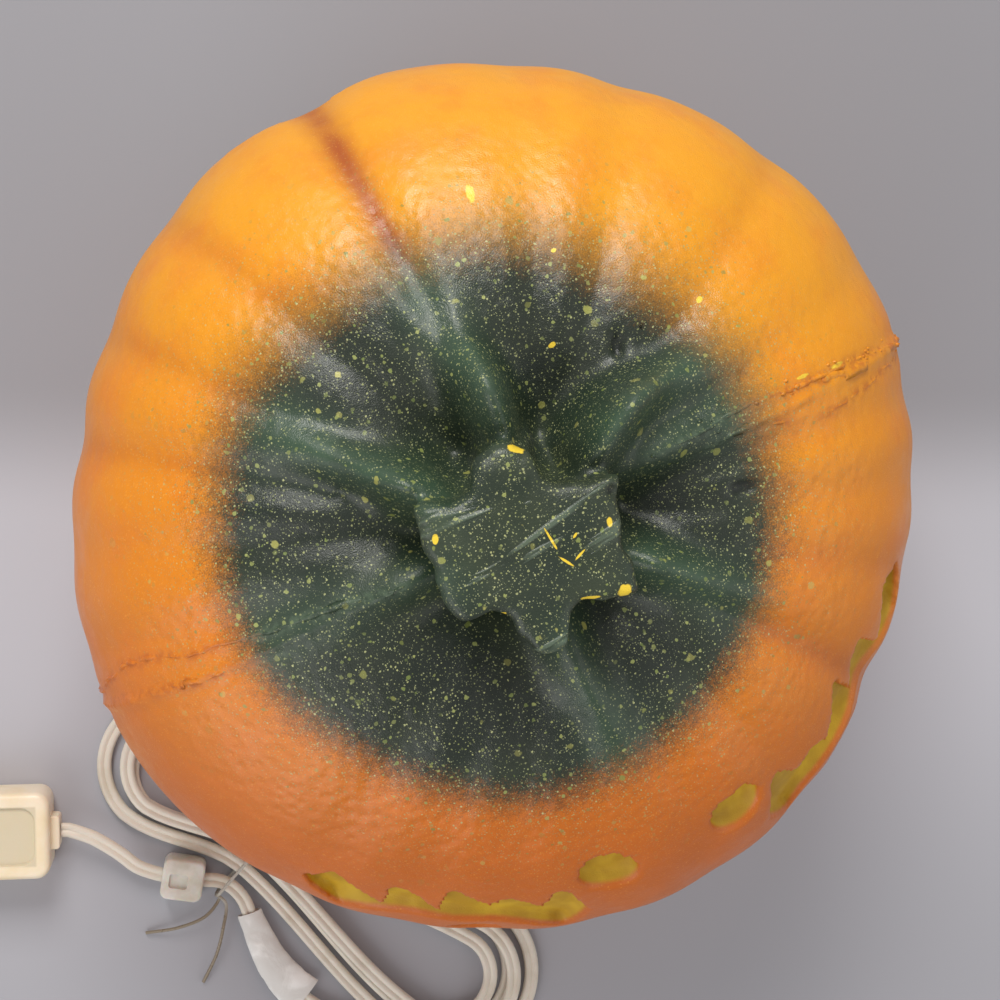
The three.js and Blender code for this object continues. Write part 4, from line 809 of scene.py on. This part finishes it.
for _ in range(flashSet["crumbs"]):
    i = crumbs.randrange(crustPoints)
    size = crumbs.uniform(flashSet["small"], flashSet["large"]) * mm
    stray = Vector([crumbs.gauss(0, flashSet["spread"]) * mm for _ in range(3)])
    near, facing, _, _ = outerSkin.find_nearest(tornPoints[i] + stray)
    if near.z < flashSet["lowest"]:
        continue
    crumb = bmesh.ops.create_icosphere(flash, subdivisions=1, radius=size)["verts"]
    for v in crumb:
        v.co *= 1 + 0.4 * noise.noise(v.co * 3000 + near * 900)
    bmesh.ops.scale(flash, vec=flashSet["stretch"], verts=crumb)
    bmesh.ops.translate(flash, vec=near, verts=crumb)
bmesh.ops.recalc_face_normals(flash, faces=flash.faces[:])
flashMesh = bpy.data.meshes.new("flash")
flash.to_mesh(flashMesh)
flash.free()
whole = bmesh.new()
whole.from_mesh(shell.data)
whole.from_mesh(flashMesh)
whole.to_mesh(shell.data)
whole.free()
bpy.data.meshes.remove(flashMesh)
print("flash")
tree = KDTree(len(tornPoints))
for i, p in enumerate(tornPoints):
    tree.insert(p, i)
tree.balance()
markSet = {"deepest": 20, "grooveShadeWidth": 2.2, "tornReach": 0.0016, "tornLowest": 0.1, "crestFull": 9}
marks = {"depth": [], "valleyShade": [], "torn": [], "ridge": []}
for v in shell.data.vertices:
    near, facing, _, away = outerSkin.find_nearest(v.co)
    inside = (v.co - near).dot(facing) < 0
    marks["depth"].append(min(away / mm, markSet["deepest"]) if inside else 0)
    angle = math.degrees(math.atan2(v.co.y, v.co.x))
    out = math.hypot(v.co.x, v.co.y) / mm
    # Painted shade along the listed grooves, on the sides of the body
    grooveShade = max(share * fade(angle, at, markSet["grooveShadeWidth"]) for at, share in shadedGrooves)
    marks["valleyShade"].append(grooveShade * smoothstep(out, 30, 75) * smoothstep(v.co.z, 0.05, 0.14))
    tornNear = math.exp(-(tree.find(v.co)[2] / markSet["tornReach"]) ** 2)
    marks["torn"].append(tornNear if v.co.z > markSet["tornLowest"] else 0)
    # How near a ridge crest, for the painted highlight on the cap
    crests = zip(ridgeFades(angle, out, 1.1), ridges)
    crest = sum(min(high / markSet["crestFull"], 1) * share for share, (_, _, high, _) in crests)
    marks["ridge"].append(crest * smoothstep(out, 18, 34) * (1 - smoothstep(out, 70, 98)))
for name, values in marks.items():
    shell.data.attributes.new(name, "FLOAT", "POINT").data.foreach_set("value", values)
shell.data.polygons.foreach_set("use_smooth", [True] * len(shell.data.polygons))
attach(shell, "pumpkin")
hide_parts("pumpkin_shell")
print("body done")


def roundedRectangle(length, width, corner, middle=(0, 0), steps=7):
    corner = max(corner, 0.05)
    points = []
    for q, (sx, sy) in enumerate(((1, 1), (-1, 1), (-1, -1), (1, -1))):
        for k in range(steps + 1):
            a = math.pi / 2 * (q + k / steps)
            points.append((middle[0] + sx * (length / 2 - corner) + corner * math.cos(a),
                           middle[1] + sy * (width / 2 - corner) + corner * math.sin(a)))
    return points


# A block with rounded corners and edges, and a recessed panel in its top if one is given
def slab(length, width, height, corner, bevel, middle, low=0.0, steps=5, panel=None):
    turns = [math.pi / 2 * k / steps for k in range(steps + 1)]
    profile = [(bevel * (1 - math.sin(a)), bevel * (1 - math.cos(a))) for a in turns]
    profile += [(inset, height - z) for inset, z in reversed(profile)]
    levels = []
    for inset, z in profile:
        outline = roundedRectangle(length - 2 * inset, width - 2 * inset, corner - inset, middle)
        levels.append([Vector((x, y, low + z)) for x, y in outline])
    if panel:
        size = (length - 2 * panel["inset"], width - 2 * panel["inset"], panel["corner"])
        for shrink, z in ((0, 0), (0.25, -0.08), (0.45, -0.3), (0.6, -panel["depth"] + 0.25),
                          (0.85, -panel["depth"])):
            outline = roundedRectangle(size[0] - 2 * shrink, size[1] - 2 * shrink, size[2] - shrink, middle)
            levels.append([Vector((x, y, low + height + z)) for x, y in outline])
    return loft(levels)


# Turns a scratch object's mesh to a heading and moves it to its place on the table
def placed(target, x, y, heading):
    turned = Matrix.Rotation(math.radians(heading), 4, "Z")
    target.data.transform(Matrix.Translation((x * mm, y * mm, 0)) @ turned)
    return target


# Eases a scratch object's sharp edges where a bevel is given, and makes it a piece
creaseAngle = 32


def complete(target, bodyName, replaced, bevel=0.0):
    bm = bmesh.new()
    bm.from_mesh(target.data)
    if bevel:
        bmesh.ops.remove_doubles(bm, verts=bm.verts[:], dist=1e-6)
        bmesh.ops.dissolve_limit(bm, angle_limit=math.radians(0.6), verts=bm.verts[:], edges=bm.edges[:])
        sharp = [e for e in bm.edges if e.is_manifold and e.calc_face_angle(0) > math.radians(creaseAngle)]
        bmesh.ops.bevel(bm, geom=sharp, offset=bevel * mm, offset_type="OFFSET", segments=2, profile=0.5,
                        affect="EDGES", clamp_overlap=True, material=-1)
        bmesh.ops.triangulate(bm, faces=[f for f in bm.faces if len(f.verts) > 4])
    name, mesh = target.name, target.data
    bpy.data.objects.remove(target, do_unlink=True)
    bpy.data.meshes.remove(mesh)
    return finished(name, bm, bodyName, replaced, creaseAngle)


# Plug: a cream block with a recessed panel for the thumb, lying flat
plug = {"x": -187, "y": -42, "heading": 152.8, "length": 36, "width": 31, "thickness": 19, "corner": 5,
        "bevel": 2.2, "collar": (3, 12, 9), "panel": {"inset": 4.7, "corner": 5.5, "depth": 1.2},
        "blades": ((-6.35, 6.3), (6.35, 7.9)), "blade": 1.5, "inside": 8, "gap": 0.3, "past": 5,
        "door": (10.4, 14, 1.7), "doorDrop": 1, "fusePocket": (29.5, 5.3, 2.7, 14.3)}
collarDepth, collarWide, collarTall = plug["collar"]
plugX, plugY = plug["x"] + collarDepth * plugWay.x, plug["y"] + collarDepth * plugWay.y
middle = plug["thickness"] / 2
plugPiece = hold("plug", slab(plug["length"], plug["width"], plug["thickness"], plug["corner"], plug["bevel"],
                              (plug["length"] / 2, 0), panel=plug["panel"]))
cutBy(plugPiece, slab(collarDepth + 4, collarWide, collarTall, 1.2, 0.5, (2 - collarDepth / 2, 0),
                      middle - collarTall / 2), "UNION")
gap, far, past = plug["gap"], plug["length"], plug["length"] + plug["past"]
for y, wide in plug["blades"]:
    thick = plug["blade"] / 2 + gap
    cutBy(plugPiece, boxForm((far - plug["inside"] - gap, y - thick, middle - wide / 2 - gap),
                             (past, y + thick, middle + wide / 2 + gap)))
doorWide, doorTall, doorThick = plug["door"]
doorLow = middle - plug["doorDrop"] - doorTall / 2
cutBy(plugPiece, boxForm((far - doorThick - gap, -doorWide / 2 - gap, doorLow - gap),
                         (past, doorWide / 2 + gap, plug["thickness"] + plug["past"])))
back, half, low, high = plug["fusePocket"]
cutBy(plugPiece, boxForm((back, -half, low), (far + 1, half, high)))
plugPiece = complete(placed(plugPiece, plugX, plugY, plug["heading"]), "lamp_unit", ["plug_body"])

# Clip block on the lead: a clear moulding with a slot through it
clip = {"x": -157.8, "y": -79.3, "heading": 143.5, "length": 15, "width": 15, "height": 11, "corner": 2.8,
        "bevel": 1.0, "slot": (3.15, 1.8), "lip": (0.6, 0.25), "window": (3.4, 2.6, 1.2), "past": 12}
clipPiece = hold("clip", slab(clip["length"], clip["width"], clip["height"], clip["corner"], clip["bevel"],
                              (0, 0)))
centre, past = clip["height"] / 2, clip["past"]
half, tall = clip["slot"]
cutBy(clipPiece, boxForm((-past, -half, centre - tall), (past, half, centre + tall)))
thick, tall = clip["lip"]
cutBy(clipPiece, boxForm((-past, -past, centre - tall), (past, thick - clip["width"] / 2, centre + tall)))
halfLong, halfWide, sunk = clip["window"]
cutBy(clipPiece, slab(2 * halfLong, 2 * halfWide, 5, 1, 0.4, (1.5, 0.5), clip["height"] - sunk))
clipPiece = complete(placed(clipPiece, clip["x"], clip["y"], clip["heading"]), "lamp_unit", ["cord_clip"])
print("plug and clip")

# Twist tie: a coated wire round the hank with two loose tails
tie = {"radius": 0.6, "clear": 0.3, "room": 2.4, "tailBeside": 19.7, "round": 2.4, "above": 0.9,
       "bottom": 0.65, "rows": 20, "sag": 0.5}
tieOff = tie["radius"] + tie["clear"] + tie["room"]
tieLow = -tie["tailBeside"] - lead["width"] / 2 / mm - tieOff
tieHigh = (hank["waist"] + hank["pitch"] + lead["width"] / 2) / mm + tieOff
tieTop = (hank["lift"] + lead["thickness"] + hank["layer"]) / mm + tie["radius"] + tie["above"]
rise = (tieTop - tie["bottom"]) / 2


def tieBow(at, side, steps=9):
    return [(at + side * tie["round"] * math.sin(math.pi * k / steps),
             tie["bottom"] + rise - side * rise * math.cos(math.pi * k / steps)) for k in range(1, steps)]


inner = (tieLow + tie["round"], tieHigh - tie["round"])
shares = [k / (tie["rows"] - 1) for k in range(tie["rows"])]
tieRing = [(mix(inner[0], inner[1], share), tie["bottom"]) for share in shares] + tieBow(inner[1], 1)
tieRing += [(mix(inner[1], inner[0], share), tieTop - tie["sag"] * math.sin(math.pi * share * 3) ** 2)
            for share in shares] + tieBow(inner[0], -1)
tieMesh = bmesh.new()
along = (hankPlace(0.001, 0, 0) - hankPlace(0, 0, 0)).normalized()
tieSection = circle(tie["radius"] * mm, 10)
sweep(tieMesh, [hankPlace(0, across * mm, z * mm) for across, z in tieRing], [along] * len(tieRing),
      tieSection, closed=True)
twist = hankPlace(0, tieLow * mm, (tie["bottom"] + rise) * mm)
tieTails = [
    [(-0.15, -0.0925, 0.0044), (-0.157, -0.096, 0.0052), (-0.168, -0.0955, 0.0036), (-0.18, -0.092, 0.0007)],
    [(-0.149, -0.0955, 0.0046), (-0.154, -0.103, 0.0054), (-0.161, -0.111, 0.0034),
     (-0.1705, -0.1185, 0.0007)],
]
for hand in tieTails:
    line = curveThrough([twist] + hand, 0.0009)
    sweep(tieMesh, line, [upward] * len(line), tieSection)
tiePiece = finished("tie", tieMesh, "lamp_unit", ["twist_tie"], 60)

# Label: a bare, crumpled sleeve of paper rolled round the lead
tag = {"from": 0.25, "to": 0.5, "flare": 1.8, "paper": 0.2, "room": 0.55, "crumple": 0.34}
tagFine = evenly(tailPath, 0.0005)
tagLine = evenly(tagFine[int(tag["from"] * len(tagFine)):int(tag["to"] * len(tagFine))], 0.0006)


def tagSection(i):
    done = i / (len(tagLine) - 1)
    outer, inside = [], []
    for k in range(33):
        around = math.radians(-80 + k / 32 * 345)
        c, s = math.cos(around), math.sin(around)
        fold = noise.noise(Vector((c * 1.6, s * 1.6, done * 9))) * tag["crumple"]
        fold += abs(noise.noise(Vector((around * 1.3, done * 16, 5)))) * tag["crumple"] * 0.7
        long = (lead["width"] / 2 / mm + tag["room"] + 0.5 + 0.98 * k / 32) * mix(tag["flare"], 1, done)
        short = lead["thickness"] / 2 / mm + tag["room"]
        place = Vector((c * (long + fold * 0.8), s * (short + fold * 0.7)))
        way = Vector((c / long, s / short)).normalized()
        outer.append(place + way * tag["paper"])
        inside.append(place - way * tag["paper"])
    return [tuple(p * mm) for p in outer + inside[::-1]]


tagMesh = bmesh.new()
sweep(tagMesh, tagLine, [upward] * len(tagLine), tagSection)
tagPiece = finished("label", tagMesh, "lamp_unit", ["label_tag"], 50)
print("tie and label")


# Small parts kept from the frame: merged copies with their edges eased, as node, body and bevel
smallParts = {
    "white_plastic": [("lamp_plate", "lamp_unit", 0.35)],
    "spring_steel": [("spring_clip_left", "lamp_unit", 0.1), ("spring_clip_right", "lamp_unit", 0.1)],
    "cord_vinyl": [("cord_relief", "lamp_unit", 0.2)],
    "black_phenolic": [("lampholder_body", "lamp_unit", 0.2), ("bulb_insulator", "bulb", 0.1)],
    "brass": [("screw_shell", "lamp_unit", 0.1), ("centre_contact", "lamp_unit", 0.1),
              ("shell_terminal", "lamp_unit", 0.1), ("bulb_cap", "bulb", 0.08)],
    "solder": [("bulb_contact", "bulb", 0.1)],
    "bulb_glass": [("bulb_glass", "bulb", 0), ("bulb_stem", "bulb", 0)],
    "filament_wire": [("filament", "bulb", 0)],
    "cream_plastic": [("fuse_door", "fuse_cover", 0.15)],
    "blade_metal": [("blade_live", "lamp_unit", 0.15), ("blade_neutral", "lamp_unit", 0.15)],
    "fuse_glass": [("fuse_live", "lamp_unit", 0.05), ("fuse_neutral", "lamp_unit", 0.05)],
}
small = {}
for slotName, entries in smallParts.items():
    for node, bodyName, bevel in entries:
        bm = bmesh.new()
        bm.from_mesh(nodes[node].data)
        small[node] = complete(hold(node + "Piece", bm), bodyName, [node], bevel)
print("small parts", len(small))


# Paint and skin of the pumpkin
paint = {
    "capPlace": (-0.0073, 0.0034, 0), "capRadius": 0.0805, "capSharp": 0.0085, "capHazy": 0.016,
    "capWobble": 0.012, "capGrain": 0.013, "capCoarse": 0.009, "hazeWay": (0.545, 0.839, 0),
    "paintedLightWay": (0.42, 0.80, 0.35), "stemReach": 38,
    # The last green is a painted highlight for the ridge crests
    "green": (38, 50, 38), "greenLight": (54, 64, 46), "greenDark": (25, 31, 26), "greenRidgeHighlight": (62, 85, 65),
    # top, middle and low are painted light, one orange drawn lit, half lit and shaded; deep is painted shade
    # for grooves
    "top": (240, 162, 26), "middle": (229, 136, 18), "low": (204, 104, 15), "deep": (168, 78, 20),
    "warm": (228, 118, 30), "speck": (255, 190, 84), "streak": (126, 144, 122), "chip": (246, 212, 60),
    "tornOrange": (182, 90, 26), "tornGreen": (92, 110, 88),
    # The pit colours are painted shade for the burst bubbles
    "pitShadeOrange": (120, 72, 24), "pitShadeGreen": (14, 22, 18),
    "foam": (214, 174, 36), "foamDark": (190, 146, 26), "inside": (222, 190, 96),
}
# Flecks of pale green flicked over the cap: scale, share left out, size, two colours
flecks = [
    (1500, 0.1, 0.3, (128, 138, 100), (186, 190, 142)), (920, 0.15, 0.3, (150, 158, 96), (196, 198, 140)),
    (430, 0.5, 0.3, (118, 134, 66), (170, 176, 104)), (215, 0.8, 0.3, (124, 136, 62), (196, 190, 104)),
]
# Paint chips down to the yellow skin, in millimetres: x, y, half-length, half-width, turn in degrees
chips = [
    (27.4, 87.7, 3.0, 1.3, 74), (1.7, 22.3, 2.4, 1.1, -40), (-28, 11.5, 1.4, 0.9, 60),
    (9.9, -24.1, 2.0, 1.8, 0), (14.6, -5.9, 1.5, 0.8, 70), (1.2, -21.4, 2.8, 0.5, -20),
    (-1.3, -2.6, 3.2, 0.35, -86), (-0.4, -9.6, 2.4, 0.4, -60), (3.6, -9.8, 2.2, 0.35, 20),
    (27.2, 40.1, 1.1, 0.8, 0), (70.9, 31.8, 1.2, 0.8, 30), (-21, -14.5, 0.8, 0.6, 0),
    (4.8, -4.6, 0.9, 0.4, 30), (40, 63, 0.9, 0.6, 0), (88.6, -1.6, 2.2, 0.6, -6), (101, -4.4, 2.6, 0.7, -4),
]
look = Surface("paintedFoam")
flat = look.vector("MULTIPLY", look.place, (1, 1, 0))
upper = look.axis("Z")
radius = look.vector("DISTANCE", flat, paint["capPlace"])
wobble = look.swing(16)
grain = look.swing(2300, 1)
coarse = look.swing(420, 3, 0.6)
edge = radius
for swing, size in ((wobble, paint["capWobble"]), (grain, paint["capGrain"]), (coarse, paint["capCoarse"])):
    edge = look.math("MULTIPLY_ADD", swing, size, edge)
onTop = look.step(upper, 0.12, 0.135)
soft = look.step(look.vector("DOT_PRODUCT", flat, paint["hazeWay"]), -0.01, 0.06,
                 paint["capSharp"], paint["capHazy"])
cap = look.step(look.math("DIVIDE", look.math("SUBTRACT", edge, paint["capRadius"]), soft), 1, -1)
cap = look.times(cap, onTop)
# Painted light: the orange is drawn lighter on the side toward the key lamp and darker on the side away from
# it
paintedLight = look.math("MULTIPLY_ADD", wobble, 0.03, look.vector("DOT_PRODUCT", look.place, paint["paintedLightWay"]))
mottle = look.noise(42, 4, 0.6)
orange = look.blend(look.step(paintedLight, -0.05, 0.06), paint["low"], paint["middle"])
orange = look.blend(look.step(paintedLight, 0.03, 0.15), orange, paint["top"])
orange = look.blend(look.step(mottle, 0.42, 0.72, 0, 0.35), orange, paint["warm"])
# Painted shade: a darker, redder orange in some deep grooves
orange = look.blend(look.times(look.attribute("valleyShade"), look.step(mottle, 0.2, 0.6, 0.55, 0.95)), orange,
                    paint["deep"])
orange = look.blend(look.step(look.noise(1500, 1), 0.62, 0.75, 0, 0.28), orange, paint["speck"])
green = look.mottled(paint["green"], paint["greenLight"], 60, 3, 0.5)
besideStem = look.times(look.step(radius, 0.026, 0.045), look.step(radius, 0.085, 0.06))
green = look.blend(look.times(besideStem, 0.6), green, paint["greenDark"])
# Painted highlight: a lighter green on the ridge crests stands in for their sheen
green = look.blend(look.times(look.attribute("ridge"), look.step(mottle, 0.3, 0.65, 0.55, 1)), green,
                   paint["greenRidgeHighlight"])
colour = look.blend(cap, orange, green)
# Streaks across the cut end of the stem
onStem = look.times(look.step(upper, 0.2075, 0.2105), look.step(radius, 0.04, 0.034))
streak = look.noise(1, 3, 0.55, at=look.mapped("POINT", 12, (16, 110, 16)), warp=0.8)
streakHere = look.times(look.step(streak, 0.6, 0.66), onStem)
colour = look.blend(look.times(streakHere, 0.4), colour, paint["streak"])
near = look.step(radius, 0.122, 0.078)
for scale, chance, high, first, second in flecks:
    cells = look.cells(scale, look.vector("ADD", look.place, (scale * 0.001, 0, 0)))
    pick, tone, strength = (look.axis(name, cells.outputs["Color"]) for name in "XYZ")
    shape = look.math("MULTIPLY_ADD", look.swing(scale * 2.4, 1), 0.4, cells.outputs["Distance"])
    size = look.times(look.step(pick, chance, 1.05, 0.25, 1), high)
    dot = look.times(look.step(look.math("SUBTRACT", shape, size), 0.03, -0.04), near,
                     look.step(pick, chance, chance + 0.02), look.step(strength, 0, 1, 0.35, 0.9))
    colour = look.blend(dot, colour, look.blend(tone, first, second))
chipMask = 0
for x, y, halfLong, halfWide, turned in chips:
    spot = look.mapped("TEXTURE", turned, (halfLong * mm, halfWide * mm, 1), (x * mm, y * mm, 0), flat)
    away = look.math("MULTIPLY_ADD", look.swing(520), 0.9, look.vector("LENGTH", spot))
    here = look.step(away, 1.05, 0.8)
    if math.hypot(x, y) < paint["stemReach"]:
        here = look.times(here, look.step(upper, 0.199, 0.203))
    chipMask = look.math("MAXIMUM", chipMask, here)
colour = look.blend(look.times(chipMask, onTop), colour, paint["chip"])
colour = look.blend(look.times(look.attribute("torn"), look.step(coarse, -0.08, 0.1, 0.1, 0.7)), colour,
                    look.blend(cap, paint["tornOrange"], paint["tornGreen"]))
# Painted shade on the walls of the burst bubbles, and unpainted foam in the recesses, the lamp opening and
# the hollow
depthHere = look.attribute("depth")
belowPits = look.step(upper, 0.169, 0.164)
pitShade = look.math("SUBTRACT", look.step(depthHere, 0.5, 1.8), look.step(depthHere, 4, 6))
pitShade = look.times(pitShade, look.math("SUBTRACT", 1, belowPits), 0.75)
colour = look.blend(pitShade, colour, look.blend(cap, paint["pitShadeOrange"], paint["pitShadeGreen"]))
bare = look.times(look.step(look.math("MULTIPLY_ADD", coarse, 0.5, depthHere), 0.9, 2.4), belowPits)
bare = look.math("MAXIMUM", bare, look.step(depthHere, 5, 7))
foamColour = look.mottled(paint["foamDark"], paint["foam"], 120, 2, 0.5, 0.3, 0.75)
foamColour = look.blend(look.step(depthHere, 7, 12), foamColour, paint["inside"])
look.set(Base_Color=look.blend(bare, colour, foamColour), Specular_IOR_Level=0.55,
         Roughness=look.math("MULTIPLY_ADD", bare, 0.3, look.uneven(90, 3, 0.32, 0.46)))
pebble = look.cells(300, feature="SMOOTH_F1").outputs["Distance"]
rough = look.step(look.math("ABSOLUTE", look.math("SUBTRACT", radius, 0.088)), 0.034, 0.0, 0.3, 1.0)
look.bump((look.math("MULTIPLY_ADD", streakHere, 0.6, look.noise(40, 3)), 0.0016, 0.5),
          (pebble, 0.0009, look.times(rough, 0.6)), (grain, 0.0003, 0.4))
wear(shell, look)

# Lead and its strain relief
cordLook = Surface("cordVinyl")
cordLook.set(Base_Color=cordLook.mottled((228, 220, 207), (200, 188, 166), 70, 4, 0.6, 0.45, 0.75, 0.5),
             Roughness=0.42, Specular_IOR_Level=0.5, Subsurface_Weight=0.06, Subsurface_Scale=0.002)
cordLook.bump((cordLook.noise(240), 0.0002, 0.35))
wear(cordRun, cordLook)
wear(small["cord_relief"], cordLook)

# Plug, with its panel a shade darker
panel = {"middle": 0.018, "halfLong": 0.0138, "halfWide": 0.0112, "soft": 0.001,
         "low": 0.0172, "high": 0.0176}
plugLook = Surface("creamPlastic")
plugNoise = plugLook.noise(60, 4, 0.6)
plugTone = plugLook.blend(plugLook.step(plugNoise, 0.4, 0.75, 0, 0.7), (243, 229, 205), (232, 212, 170))
inPlug = plugLook.mapped("TEXTURE", plug["heading"], place=(plugX * mm + plugWay.x * panel["middle"],
                                                            plugY * mm + plugWay.y * panel["middle"], 0))
across = [plugLook.math("ABSOLUTE", plugLook.axis(name, inPlug)) for name in "XY"]
panelHere = plugLook.times(plugLook.step(across[0], panel["halfLong"], panel["halfLong"] - panel["soft"]),
                           plugLook.step(across[1], panel["halfWide"], panel["halfWide"] - panel["soft"]),
                           plugLook.step(plugLook.axis("Z"), panel["low"], panel["high"]), 0.8)
plugLook.set(Base_Color=plugLook.blend(panelHere, plugTone, (206, 194, 166)),
             Roughness=plugLook.step(plugNoise, 0.3, 0.7, 0.3, 0.46),
             Subsurface_Weight=0.08, Subsurface_Scale=0.002)
plugLook.bump((plugLook.noise(900), 0.00012, 0.3), (plugLook.noise(120), 0.0003, 0.15))
wear(plugPiece, plugLook)
wear(small["fuse_door"], plugLook)

# Clip block, tie and label
clipLook = Surface("clearBlock")
clipLook.set(Base_Color=clipLook.mottled((236, 233, 225), (214, 208, 194), 160, 3, 0.5, 0.3, 0.7),
             Roughness=0.34, Transmission_Weight=0.12, IOR=1.46,
             Subsurface_Weight=0.3, Subsurface_Scale=0.004)
clipLook.bump((clipLook.noise(420), 0.0002, 0.4))
wear(clipPiece, clipLook)
tieLook = Surface("clearTie")
tieLook.set(Base_Color=tieLook.blend(tieLook.step(tieLook.axis("X"), -0.152, -0.147), (146, 132, 112),
                                     (206, 202, 192)),
            Roughness=tieLook.uneven(300, 2, 0.22, 0.4), Transmission_Weight=0.15)
tieLook.bump((tieLook.noise(1400), 0.0001, 0.4))
wear(tiePiece, tieLook)
paperLook = Surface("labelPaper")
fold = paperLook.noise(85, 4, 0.55, warp=0.6)
# Painted shade: the paper is drawn darker in the low parts of its crumple, following the same pattern as its
# bump
paperLook.set(Base_Color=paperLook.blend(paperLook.step(fold, 0.4, 0.65), (226, 224, 221), (250, 249, 247)),
              Roughness=0.62, Sheen_Weight=0.1)
paperLook.bump((fold, 0.0012, 0.6), (paperLook.noise(1500), 0.00008, 0.3))
wear(tagPiece, paperLook)

# Metals, phenolic, glass and the white plate, by slot: name, two colours, scale, roughness and other inputs
wornLooks = {
    "white_plastic": ("whitePlastic", (232, 228, 216), (216, 206, 184), 40, 0.42, {}),
    "spring_steel": ("springSteel", (150, 152, 154), (112, 112, 110), 90, 0.32, {"Metallic": 1.0}),
    "black_phenolic": ("phenolic", (34, 31, 29), (52, 46, 41), 70, 0.46, {}),
    "brass": ("brass", (206, 168, 84), (158, 118, 52), 110, 0.3, {"Metallic": 1.0}),
    "solder": ("solder", (176, 177, 178), (140, 140, 142), 400, 0.42, {"Metallic": 1.0}),
    "filament_wire": ("filamentWire", (122, 118, 114), (84, 80, 78), 300, 0.45, {"Metallic": 1.0}),
    "blade_metal": ("bladeMetal", (206, 180, 112), (170, 140, 82), 80, 0.26, {"Metallic": 1.0}),
    "bulb_glass": ("bulbGlass", (250, 250, 248), (242, 241, 238), 40, 0.04,
                   {"Transmission_Weight": 1.0, "IOR": 1.45}),
    "fuse_glass": ("fuseGlass", (226, 228, 226), (196, 198, 196), 200, 0.12,
                   {"Transmission_Weight": 0.5, "IOR": 1.45}),
}
for slotName, (name, first, second, scale, rough, values) in wornLooks.items():
    surface = Surface(name)
    surface.set(Base_Color=surface.mottled(first, second, scale),
                Roughness=surface.uneven(scale * 3, 3, rough * 0.8, rough * 1.25), **values)
    surface.bump((surface.noise(scale * 9, 3), 0.0001, 0.35))
    for node, _, _ in smallParts[slotName]:
        wear(small[node], surface)
print("materials")


# Floor and light
floorMesh = bmesh.new()
bmesh.ops.create_grid(floorMesh, x_segments=1, y_segments=1, size=4)
bmesh.ops.translate(floorMesh, vec=(0, 0, -0.0004), verts=floorMesh.verts[:])
floor = hold("floor", floorMesh)
floorLook = Surface("floor")
# The floor's tone is painted shade: darker toward the bottom of the view, lighter across the middle, and
# darker again past a line across the top, like a shaded backdrop
upImage = floorLook.vector("DOT_PRODUCT", floorLook.place, (0.46683, 0.88197, 0))
floorPaintedShade = floorLook.blend(floorLook.step(upImage, -0.2, -0.03), (168, 168, 175), (188, 188, 196))
floorPaintedShade = floorLook.blend(floorLook.step(upImage, -0.016, 0.038), floorPaintedShade, (152, 151, 157))
floorLook.set(Base_Color=floorPaintedShade, Roughness=0.9)
wear(floor, floorLook)

world = bpy.data.worlds.new("room")
bpy.context.scene.world = world
world.use_nodes = True
room = world.node_tree.nodes["Background"]
room.inputs["Color"].default_value = (1.0, 0.985, 0.97, 1)
room.inputs["Strength"].default_value = 0.40

# Lights aimed at the middle of the pumpkin: name, place, size, power, colour
aim = Vector((0, 0, 0.1))
for name, place, size, power, shade in (("key", (0.3, 1.05, 1.05), 0.7, 16.5, (1.0, 0.985, 0.95)),
                                        ("fill", (-1.0, -0.35, 0.75), 1.0, 6, (1.0, 0.98, 0.97)),
                                        ("low", (0.8, -0.8, 0.8), 1.2, 2.8, (1.0, 0.98, 0.97))):
    data = bpy.data.lights.new(name, "AREA")
    data.size, data.energy, data.color = size, power, shade
    light = linked(name, data)
    light.location = place
    light.rotation_mode = "QUATERNION"
    light.rotation_quaternion = (aim - Vector(place)).to_track_quat("-Z", "Y")
